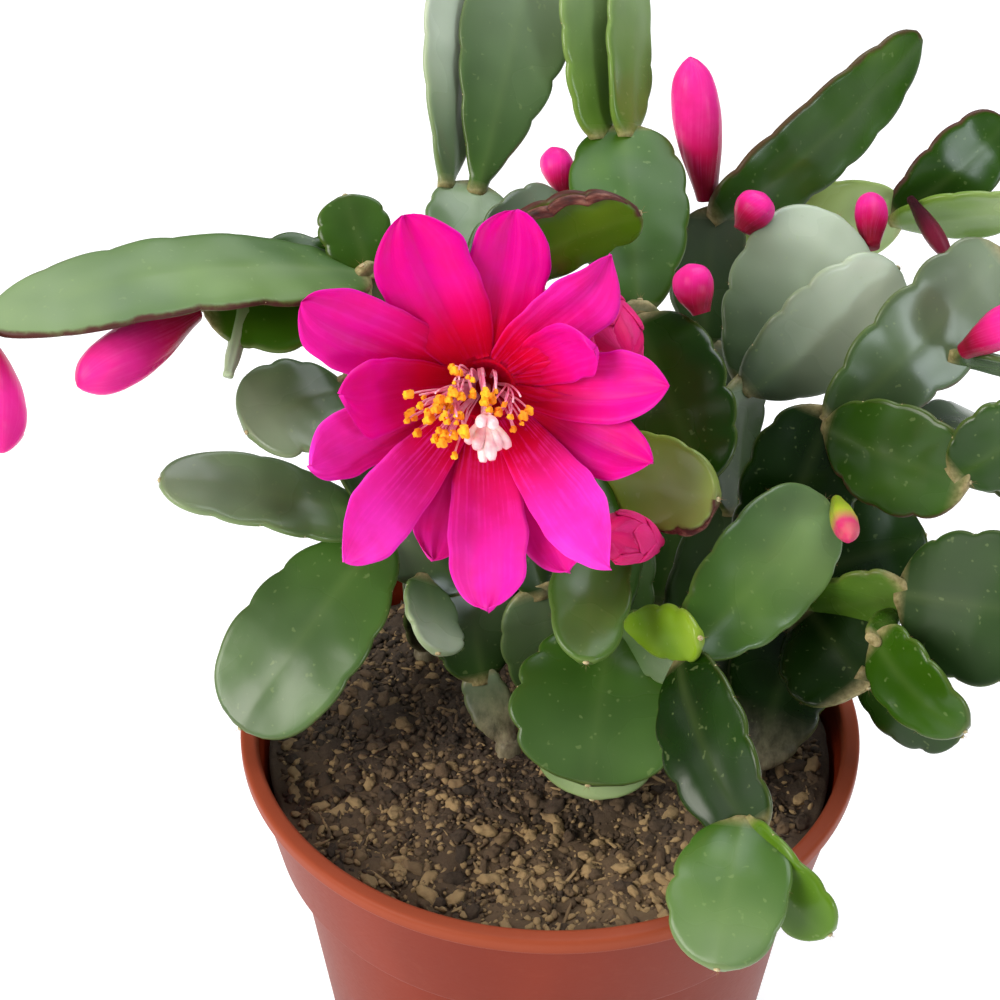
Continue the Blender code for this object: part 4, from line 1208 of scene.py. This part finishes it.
def pot():
    """The moulded pot: a turned lip, a tapered collar, a stepped-in body and a drained floor."""
    collar_foot = POT_HEIGHT - COLLAR_DEPTH
    lip_foot = POT_HEIGHT - LIP_DEPTH
    inner, outer = CHANNEL_RADII
    corners = (
        (0, 0), (inner - 1.5, 0), (inner, CHANNEL_DEPTH), (outer, CHANNEL_DEPTH), (outer + 1.2, 0),
        (BASE_RADIUS, 0), (BODY_TOP_RADIUS, collar_foot), (COLLAR_FOOT_RADIUS, collar_foot + 0.7),
        (COLLAR_TOP_RADIUS, lip_foot), (RIM_RADIUS, lip_foot + 0.3), (RIM_RADIUS, POT_HEIGHT),
        (RIM_RADIUS - LIP_WIDTH, POT_HEIGHT), (COLLAR_TOP_RADIUS - WALL - 0.3, lip_foot - 1),
        (COLLAR_FOOT_RADIUS - WALL, collar_foot + 1.4), (BODY_TOP_RADIUS - WALL, collar_foot - 0.6),
        (BASE_RADIUS - WALL + FLOOR * BODY_SLOPE, FLOOR), (0, FLOOR),
    )
    shell = placed("pot_shell", turned(rounded(corners, POT_FILLET), POT_SIDES))
    shell.data = drilled(shell)
    shell.data.materials.clear()
    shell.data.materials.append(moulded_plastic())
    shell.data.shade_smooth()
    shell.data.set_sharp_from_angle(angle=math.radians(40))
    settle(shell, "pot_plastic", "pot")


def soil_height(x, y):
    coarse, fine = wander(x * 0.11, y * 0.11, 3.0), wander(x * 0.27, y * 0.27, 7.0)
    return SOIL_TOP + SOIL_BUMP * (coarse + 0.7 * fine)


def soil_surface():
    """Rings of points over the compost's crumbly top, from its edge to near its middle."""
    over_foot = SOIL_TOP - (POT_HEIGHT - COLLAR_DEPTH) - 1.4
    edge = COLLAR_FOOT_RADIUS - WALL - GAP - 0.6 + COLLAR_SLOPE * over_foot
    rings = []
    for k in range(SOIL_RINGS, 0, -1):
        ring = level_ring(edge * k / SOIL_RINGS, ring_turn(SOIL_SIDES), 0.0)
        for point in ring:
            x, y = point[:2]
            crumb = 0.6 * wander(x * 0.7, y * 0.7, 1.0) + 0.3 * wander(x, y, 5.0)
            point[2] = soil_height(x, y) + crumb * (k < SOIL_RINGS)
        rings.append(ring)
    return rings


def crumb_bed(name, surface):
    """A coarse sheet over the compost's top, for crumbs to lie on."""
    bm = bmesh.new()
    rings = [[bm.verts.new(Vector(p) * MM) for p in ring[::4]] for ring in surface[2::3]]
    for outer, inner in zip(rings, rings[1:]):
        for i in range(len(outer)):
            j = (i + 1) % len(outer)
            bm.faces.new((outer[i], outer[j], inner[j], inner[i]))
    bed = bpy.data.meshes.new(name)
    bm.to_mesh(bed)
    bm.free()
    return linked(name, bed)


def soil():
    """The compost's body with a crumbly top, and lumps, crumbs, grit and fibres strewn on it."""
    collar_foot = POT_HEIGHT - COLLAR_DEPTH
    low = FLOOR + GAP
    walls = ((BASE_RADIUS - WALL + low * BODY_SLOPE - GAP - 0.1, low),
             (BODY_TOP_RADIUS - WALL - GAP - 0.1, collar_foot + 0.1),
             (COLLAR_FOOT_RADIUS - WALL - GAP - 0.2, collar_foot + 2.6))
    surface = soil_surface()
    skin = Skin("pick")
    turn = ring_turn(SOIL_SIDES)
    skin.add(np.array([level_ring(r, turn, z) for r, z in walls] + surface), pick=0.35)
    fresh = compost()
    settle(skin.piece("compost_body", fresh), "compost", "soil")
    tree = crumb_tree()
    for kind in CRUMBS:
        settle(grown(kind.name, crumb_bed(kind.name + "_bed", surface), tree, Size=kind.size * MM,
                     Density=kind.density, Long=kind.long, Fineness=kind.fineness, Seed=kind.seed,
                     Finish=fresh), "compost")


def look_of(pad):
    """The pad's own look, or one drawn by its name where the photo doesn't show it well."""
    dice = random.Random(pad.name + "look")
    return LOOKS.get(pad.name) or Look(dice.uniform(-0.85, -0.2), dice.uniform(0.0, 0.35), 0.15)


def plant():
    """Every stem as one piece, and the dried margins and the tufts of all areoles as two more."""
    green = pad_skin()
    blades, tufts = {}, []
    for stem in STEMS:
        laid = blades_of(stem)
        blades.update(laid)
        bearing = {pad.parent for pad in stem.pads}
        skin = Skin(*PAD_MARKS)
        draw_root(skin, stem)
        for pad in stem.pads:
            look = look_of(pad)
            draw_pad(skin, laid[pad.name], look, pad.name in bearing, pad.parent is None)
            tufts.extend(areoles_of(laid[pad.name], look))
        settle(skin.piece(stem.name + "_skin", green), "pad_skin", stem.name)
    dried = Skin()
    for name, *roll in WITHERED:
        draw_withered(dried, blades[name], *roll)
    settle(dried.piece("withered_margins", withered_skin()), "pad_skin")
    points, ways, sizes = zip(*tufts)
    base = points_piece("areoles", points, way=ways, size=sizes)
    wool = felt("areole wool", "#8a7a52", "#cfc398", 0.3)
    bristle = felt("areole bristle", "#6b4a2c", "#a5804f", 0.4, 0.6)
    settle(grown("areole_tufts", base, tuft_tree(), Wool=WOOL_RADIUS * MM,
                 Bristle=BRISTLE_LENGTH * MM, Wool_finish=wool, Bristle_finish=bristle), "pad_skin")
    return blades


def bud_share(t):
    """The bud's radius at t of its length, as a soft curve through the profile."""
    ts, shares = zip(*BUD_PROFILE)
    spread = np.clip(np.linspace(t - 0.07, t + 0.07, 7), 0, 1)
    eased = float(np.interp(spread, ts, shares).mean())
    return eased if t < 0.9 else eased * math.sqrt(max(0.02, 1 - ((t - 0.9) / 0.102) ** 2.4))


def bud_frame(spec, blades):
    """Where the bud's foot stands, just clear of the pad that bears it."""
    parent = blades[spec.pad]
    if spec.along >= 1:
        rest = parent.tip + parent.cross * (spec.side * TIP_HALF * 0.6)
        outward = parent.axis
    else:
        rest = parent.edge(spec.along, math.copysign(1, spec.side))
        outward = parent.cross * math.copysign(1, spec.side)
    lean = (spec.tip - rest).normalized()
    foot_radius = spec.radius * BUD_PROFILE[0][1] * (1 + BUD_FLUTE)
    slant = math.sqrt(max(0.0, 1 - min(1.0, max(0.0, lean.dot(outward))) ** 2))
    return rest + outward * (GAP + BUD_STANDOFF + foot_radius * slant)


def draw_scale(skin, spec, foot, row, middle, step):
    """One scale of an unfolding bud, which lies round the bud at the angle middle."""
    length = (spec.tip - foot).length
    v = np.linspace(-1, 1, SCALE_ACROSS)
    both = np.concatenate((v, v[::-1]))
    sunk = np.repeat((0.0, SCALE_THICKNESS), SCALE_ACROSS)
    rings, along, inset = [], [], []
    for u in np.linspace(0, 1, SCALE_STEPS):
        t = row.start + (row.end - row.start) * u
        span = 0.74 * (math.sin(math.pi * (0.14 + 0.86 * u ** 1.3)) ** 0.7 + 0.02)
        outer = spec.radius * (bud_share(t) + row.lift + row.flare * u ** 3 - 0.05 * both ** 2)
        rings.append(level_ring(outer - sunk, middle + BUD_TWIST * t + both * span, length * t))
        along.append(np.full(len(both), 0.35 + 0.6 * t))
        inset.append((1 - np.abs(both)) * spec.radius * span + (1 - u) * 0.3)
    skin.add(stood_up(rings, foot, spec.tip), along=np.array(along), across=both + step,
             inset=np.array(inset), pale=0.3)


def draw_bud(skin, spec, foot, ripe):
    """A furled bud: petals wrapped round one another, each edge lapping a little over the next.
    The larger ripe is, the nearer to its tip the bud takes on its full colour."""
    length = (spec.tip - foot).length
    phase = random.Random(spec.name).uniform(0, 6)
    turn = ring_turn(BUD_RING)
    rings, along, across, inset = [], [], [], []
    for t in np.linspace(0, 1, BUD_STEPS):
        wrap = (3 * (turn + phase) / (2 * math.pi) - 0.45 * t) % 1.0
        lap = 0.055 * (wrap - 0.5) * min(1.0, 3 * t) + 0.02 * np.sin(5 * turn + phase - 2 * t)
        rings.append(level_ring(spec.radius * bud_share(t) * (0.985 + lap), turn, length * t))
        along.append(np.full(BUD_RING, t ** ripe))
        across.append(wrap * 2)
        inset.append(0.25 + np.minimum(1 - wrap, 0.5) * spec.radius * 3)
    skin.add(stood_up(rings, foot, spec.tip), along=np.array(along), across=np.array(across),
             inset=np.array(inset), pale=0.1)
    if spec.name in SCALY_BUDS:
        for layer, row in enumerate(SCALE_ROWS):
            for step in range(row.count):
                middle = 2 * math.pi * step / row.count + layer * 0.7 + phase
                draw_scale(skin, spec, foot, row, middle, step)


def buds(blades):
    """Every bud as a piece of its own, in the skin of its age; the small bud gets a dark skin that
    paints its shade.
    """
    pink = petal_skin("furled petal skin", "#7a1426", "#b00a46", "#e81c8c", "#ff78c6", 0.3)
    green = petal_skin("young bud skin", "#8fa825", "#a9bc2c", "#cc2464", "#ee84ac", 0.35)
    # A dark maroon skin that paints the shade on the small bud
    maroon = petal_skin("shaded bud skin", "#2c0d12", "#3d0f1a", "#5e1428", "#8a3048", 0.4)
    crumpled = petal_skin("unfolding bud skin", "#7a1028", "#b4003a", "#dc0660", "#fa509e", 0.45)
    own = {"bud_green": green, "bud_small": maroon, **dict.fromkeys(SCALY_BUDS, crumpled)}
    for spec in BUDS:
        skin = Skin(*PETAL_MARKS)
        draw_bud(skin, spec, bud_frame(spec, blades), 2.2 if spec.name == "bud_green" else 1.35)
        settle(skin.piece(spec.name + "_petals", own.get(spec.name, pink)), "bud_skin", spec.name)


def petal_share(t, pointed):
    """The petal's width at t of its length, as a share of its greatest width."""
    if t < PETAL_WIDEST:
        return PETAL_ROOT + (1 - PETAL_ROOT) * math.sin(math.pi / 2 * t / PETAL_WIDEST)
    reach = (t - PETAL_WIDEST) / (1 - PETAL_WIDEST)
    return max(0.03, max(0.0, 1 - reach ** (2.7 - 0.9 * pointed)) ** (0.48 + 0.4 * pointed))


def petal_lift(petal, seed, t, v, half):
    """How far the petal stands off its middle line: cupped, frilled, folded, keeled and curled."""
    frill = np.array([wander(s * 0.9, t * 3.0, 4.0, seed=seed) for s in v])
    fold = np.array([wander(s * 2.2, t * 1.4, 9.0, seed=seed) for s in v])
    keel = np.exp(-((v / 0.16) ** 2)) * math.sin(math.pi * min(1.0, t * 1.1)) ** 0.5
    waves = FRILL * frill * t * np.abs(v) + FOLD * fold * t
    return half * petal.cup * v ** 2 + waves - KEEL * keel + petal.curl * t ** 5


def petal_row(petal, seed, t, v, start, crest, cross):
    """The closed row of points across the petal at t, and half its width there."""
    point = start * (1 - t) ** 2 + crest * (2 * t * (1 - t)) + petal.tip * t ** 2
    along = ((crest - start) * (1 - t) + (petal.tip - crest) * t).normalized()
    side = Matrix.Rotation(math.radians(petal.twist) * t ** 1.5, 3, along) @ cross
    half = petal.width / 2 * petal_share(t, petal.pointed)
    torn, worn = wander(t * 7, 12.0, seed=seed), wander(t * 7, 7.0, seed=seed)
    ragged = 1 + 0.13 * t * np.where(v > 0, torn, worn)
    drift = 0.5 * wander(t * 2.5, 0.0, 1.0, seed=seed)
    sway = (petal.sway * math.sin(math.pi * t ** 1.4) + drift) * t
    middle, side_way, up_way = arr(point + side * sway, side, along.cross(side))
    lift = petal_lift(petal, seed, t, v, half)
    sheet = middle + np.outer(v * half * ragged, side_way) + np.outer(lift, up_way)
    thick = up_way * (0.3 - 0.18 * t)
    rim = np.sqrt(np.maximum(0.0, 1 - np.abs(v) ** 8))[:, None]
    return np.concatenate((sheet + thick * rim, (sheet - thick * rim - thick * 0.02)[::-1])), half


def draw_petal(skin, petal, step):
    """A petal that leaves the tube's mouth forwards and opens out to its tip."""
    axis = flower_axis()
    reach = petal.tip - THROAT
    out = (reach - axis * reach.dot(axis)).normalized()
    down = PETAL_SINK + PETAL_STAGGER * (step * GOLDEN_SHARE % 1.0)
    start = THROAT + out * (TUBE_RADIUS - 0.1) - axis * down
    length = (petal.tip - start).length
    crest = start + out * (length * 0.42) + axis * (length * petal.lift)
    cross = axis.cross(out).normalized()
    seed = Vector((step * 7.3, 2.0, 0.0))
    v = np.linspace(-1, 1, PETAL_ACROSS)
    v = np.sign(v) * np.abs(v) ** 0.85
    both = np.concatenate((v, v[::-1]))
    rows, along, inset = [], [], []
    for t in 1 - (1 - np.linspace(0, 1, PETAL_STEPS)) ** 1.25:
        row, half = petal_row(petal, seed, t, v, start, crest, cross)
        rows.append(row)
        along.append(np.full(len(both), t))
        inset.append(np.minimum(half * (1 - np.abs(both)), (1 - t) * length) + 0.02)
    skin.add(np.array(rows), along=np.array(along), across=both + step * 2.7, inset=np.array(inset),
             pale=petal.pale)


def draw_tube(skin, foot):
    """The short tube: the ovary at its foot, a waist, and a cup that the petals crown."""
    length = (THROAT - foot).length
    floor, mouth, belly = length - CUP_DEPTH, length - 0.9, length - CUP_DEPTH * 0.5
    corners = (
        (0.02, 0), (TUBE_NECK * 0.8, 0), (OVARY_RADIUS, length * 0.2),
        (TUBE_NECK * 1.1, length * 0.42), (TUBE_RADIUS * 0.85, belly),
        (TUBE_RADIUS + 0.1, mouth), (TUBE_RADIUS - TUBE_WALL, mouth),
        (TUBE_RADIUS * 0.85 - TUBE_WALL, belly), (TUBE_RADIUS * 0.5, floor + 0.4), (0.02, floor),
    )
    turn = ring_turn(TUBE_SIDES)
    rings = [level_ring(r, turn, z) for r, z in rounded(corners, 1.6, 4)]
    skin.add(stood_up(rings, foot, THROAT), along=0.03, across=turn, inset=3.0)


def flower_axis():
    return (FACE - THROAT).normalized()


def flower(blades):
    """The open flower: its petals and tube as one piece, its stamens and its pistil."""
    parent = blades[FLOWER_PAD]
    foot = parent.tip + parent.axis * (GAP + TUBE_NECK * 0.8 * 0.9)
    skin = Skin(*PETAL_MARKS)
    draw_tube(skin, foot)
    for step, petal in enumerate(PETALS):
        draw_petal(skin, petal, step)
    silk = petal_skin("open petal skin", "#c00022", "#d2003a", "#d20084", "#ff3cc8", 0.42, 0.05)
    settle(skin.piece("open_petals", silk), "petal", "flower_petals")
    inward = (THROAT - foot).normalized()
    cup_floor = THROAT - inward * (CUP_DEPTH - GAP - 0.8)
    stamens(inward, cup_floor)
    pistil(cup_floor + inward * 0.05)


def thread_path(dice, inward, cup_floor, end):
    """A thread that rises along the throat's wall, bows outwards and bends inwards to its end."""
    axis = flower_axis()
    reach = end - THROAT
    way = (reach - axis * reach.dot(axis)).normalized()
    foot = cup_floor + inward * 0.5 + way * 1.7
    mouth = THROAT + way * 3.4 + axis
    bow = THROAT.lerp(end, 0.75) + way * dice.uniform(0.4, 2.0)
    bow.z += dice.uniform(0.0, 1.2)
    leave = mouth + (mouth - foot) * dice.uniform(0.2, 0.8)
    path = curved(foot, (foot + mouth) / 2, mouth, 4)[:-1]
    for t in np.linspace(0, 1, THREAD_STEPS + 1):
        rise = mouth * (1 - t) ** 3 + leave * (3 * t * (1 - t) ** 2)
        path.append(rise + bow * (3 * t * t * (1 - t)) + end * t ** 3)
    return path


def stamens(inward, cup_floor):
    """Bunched threads with anthers on their ends, and some that have lost theirs."""
    dice = random.Random(11)
    points, edges, ways, sizes = [], [], [], []
    anthers = len(ANTHERS) * STAMENS_PER_PLACE
    for i in range(anthers + BARE_THREADS):
        end = ANTHERS[i % len(ANTHERS)].copy()
        end += Vector([dice.gauss(0, THREAD_SPREAD) for _ in range(3)])
        if i >= anthers:
            end += Vector([dice.uniform(*reach) for reach in STRAY])
        path = thread_path(dice, inward, cup_floor, end)
        start = len(points)
        points.extend(path)
        edges.extend((start + k, start + k + 1) for k in range(len(path) - 1))
        ways.extend([(path[-1] - path[-2]).normalized()] * len(path))
        sizes.extend([0.0] * (len(path) - 1) + [dice.uniform(0.5, 1.35) if i < anthers else 0.0])
    base = points_piece("stamen_paths", points, edges, way=ways, size=sizes)
    thread = felt("stamen filament", "#f2709c", "#ffd8e0", 2.0, 0.4, 0.02)
    pollen = felt("pollen on anthers", "#f58200", "#ffc814", 1.6, 0.8, 0.12)
    grown_threads = grown("open_stamens", base, stamen_tree(), Thread=THREAD_RADIUS * MM,
                          Anther=ANTHER_RADIUS * MM, Thread_finish=thread, Anther_finish=pollen)
    settle(grown_threads, "anther", "flower_stamens")


def pistil(style_foot):
    """A style flushed with pink, and a bunch of blunt, sticky, cream-coloured lobes."""
    skin = Skin()
    style = [style_foot.lerp(STIGMA, i / 10) for i in range(11)]
    skin.add(tube_rings(style, [0.75] * 10 + [0.9], 18))
    for tip in STIGMA_LOBES:
        reach = tip - STIGMA
        sag = Vector((0, 0, -1)) * reach.length * 0.12
        path = curved(STIGMA - reach * 0.05, STIGMA + reach * 0.5 - sag, tip, len(LOBE_RADII) - 1)
        skin.add(tube_rings(path, LOBE_RADII, 16))
    sticky = felt("sticky stigma", "#ee98a6", "#ffeee6", 1.3, 0.45, 0.15)
    settle(skin.piece("open_pistil", sticky), "stigma", "flower_pistil")


def lamp(name, spot, size, power, colour):
    """A square soft light, aimed at the plant's middle; places and size in metres."""
    data = bpy.data.lights.new(name, "AREA")
    data.size, data.energy, data.color = size, power, linear(colour)[:3]
    made = bpy.data.objects.new(name, data)
    made.location = spot
    made.rotation_euler = (PLANT_MIDDLE - made.location).to_track_quat("-Z", "Y").to_euler()
    bpy.context.scene.collection.objects.link(made)


def studio():
    """A pale floor, soft light from above and the left, and the photographer's camera."""
    scene = bpy.context.scene
    mesh = bpy.data.meshes.new("floor")
    corners = [Vector((x, y, 0)) * FLOOR_REACH for x, y in ((-1, -1), (1, -1), (1, 1), (-1, 1))]
    mesh.from_pydata(corners, [], [(0, 1, 2, 3)])
    paper, _, _ = new_material("white paper sweep", Roughness=0.85, Base_Color=linear("#c8c8c8"),
                               Emission_Color=linear("#ffffff"), Emission_Strength=0.68)
    mesh.materials.append(paper)
    linked("floor", mesh)
    scene.world = bpy.data.worlds.new("studio air")
    scene.world.use_nodes = True
    air = scene.world.node_tree.nodes["Background"]
    air.inputs["Color"].default_value = linear("#f2f6ff")
    air.inputs["Strength"].default_value = 0.16
    lamp("window", (-0.85, -0.6, 0.65), 0.7, 17.0, "#fffaf4")
    lamp("sky", (0.25, 0.35, 1.05), 0.8, 11.0, "#f4f8ff")
    lamp("side window", (0.64, -0.66, 0.28), 0.22, 2.4, "#eef8ff")
    data = bpy.data.cameras.new("camera")
    data.sensor_width, data.lens = SENSOR_WIDTH, SENSOR_WIDTH * FOCAL / (2 * PICTURE_MIDDLE)
    data.clip_start = 0.01
    camera = bpy.data.objects.new("camera", data)
    camera.location = EYE * MM
    camera.rotation_euler = (math.radians(90) - EYE_DIP, 0, 0)
    scene.collection.objects.link(camera)
    scene.camera = camera
    scene.view_settings.view_transform = "Standard"


studio()
pot()
soil()
pads = plant()
buds(pads)
flower(pads)
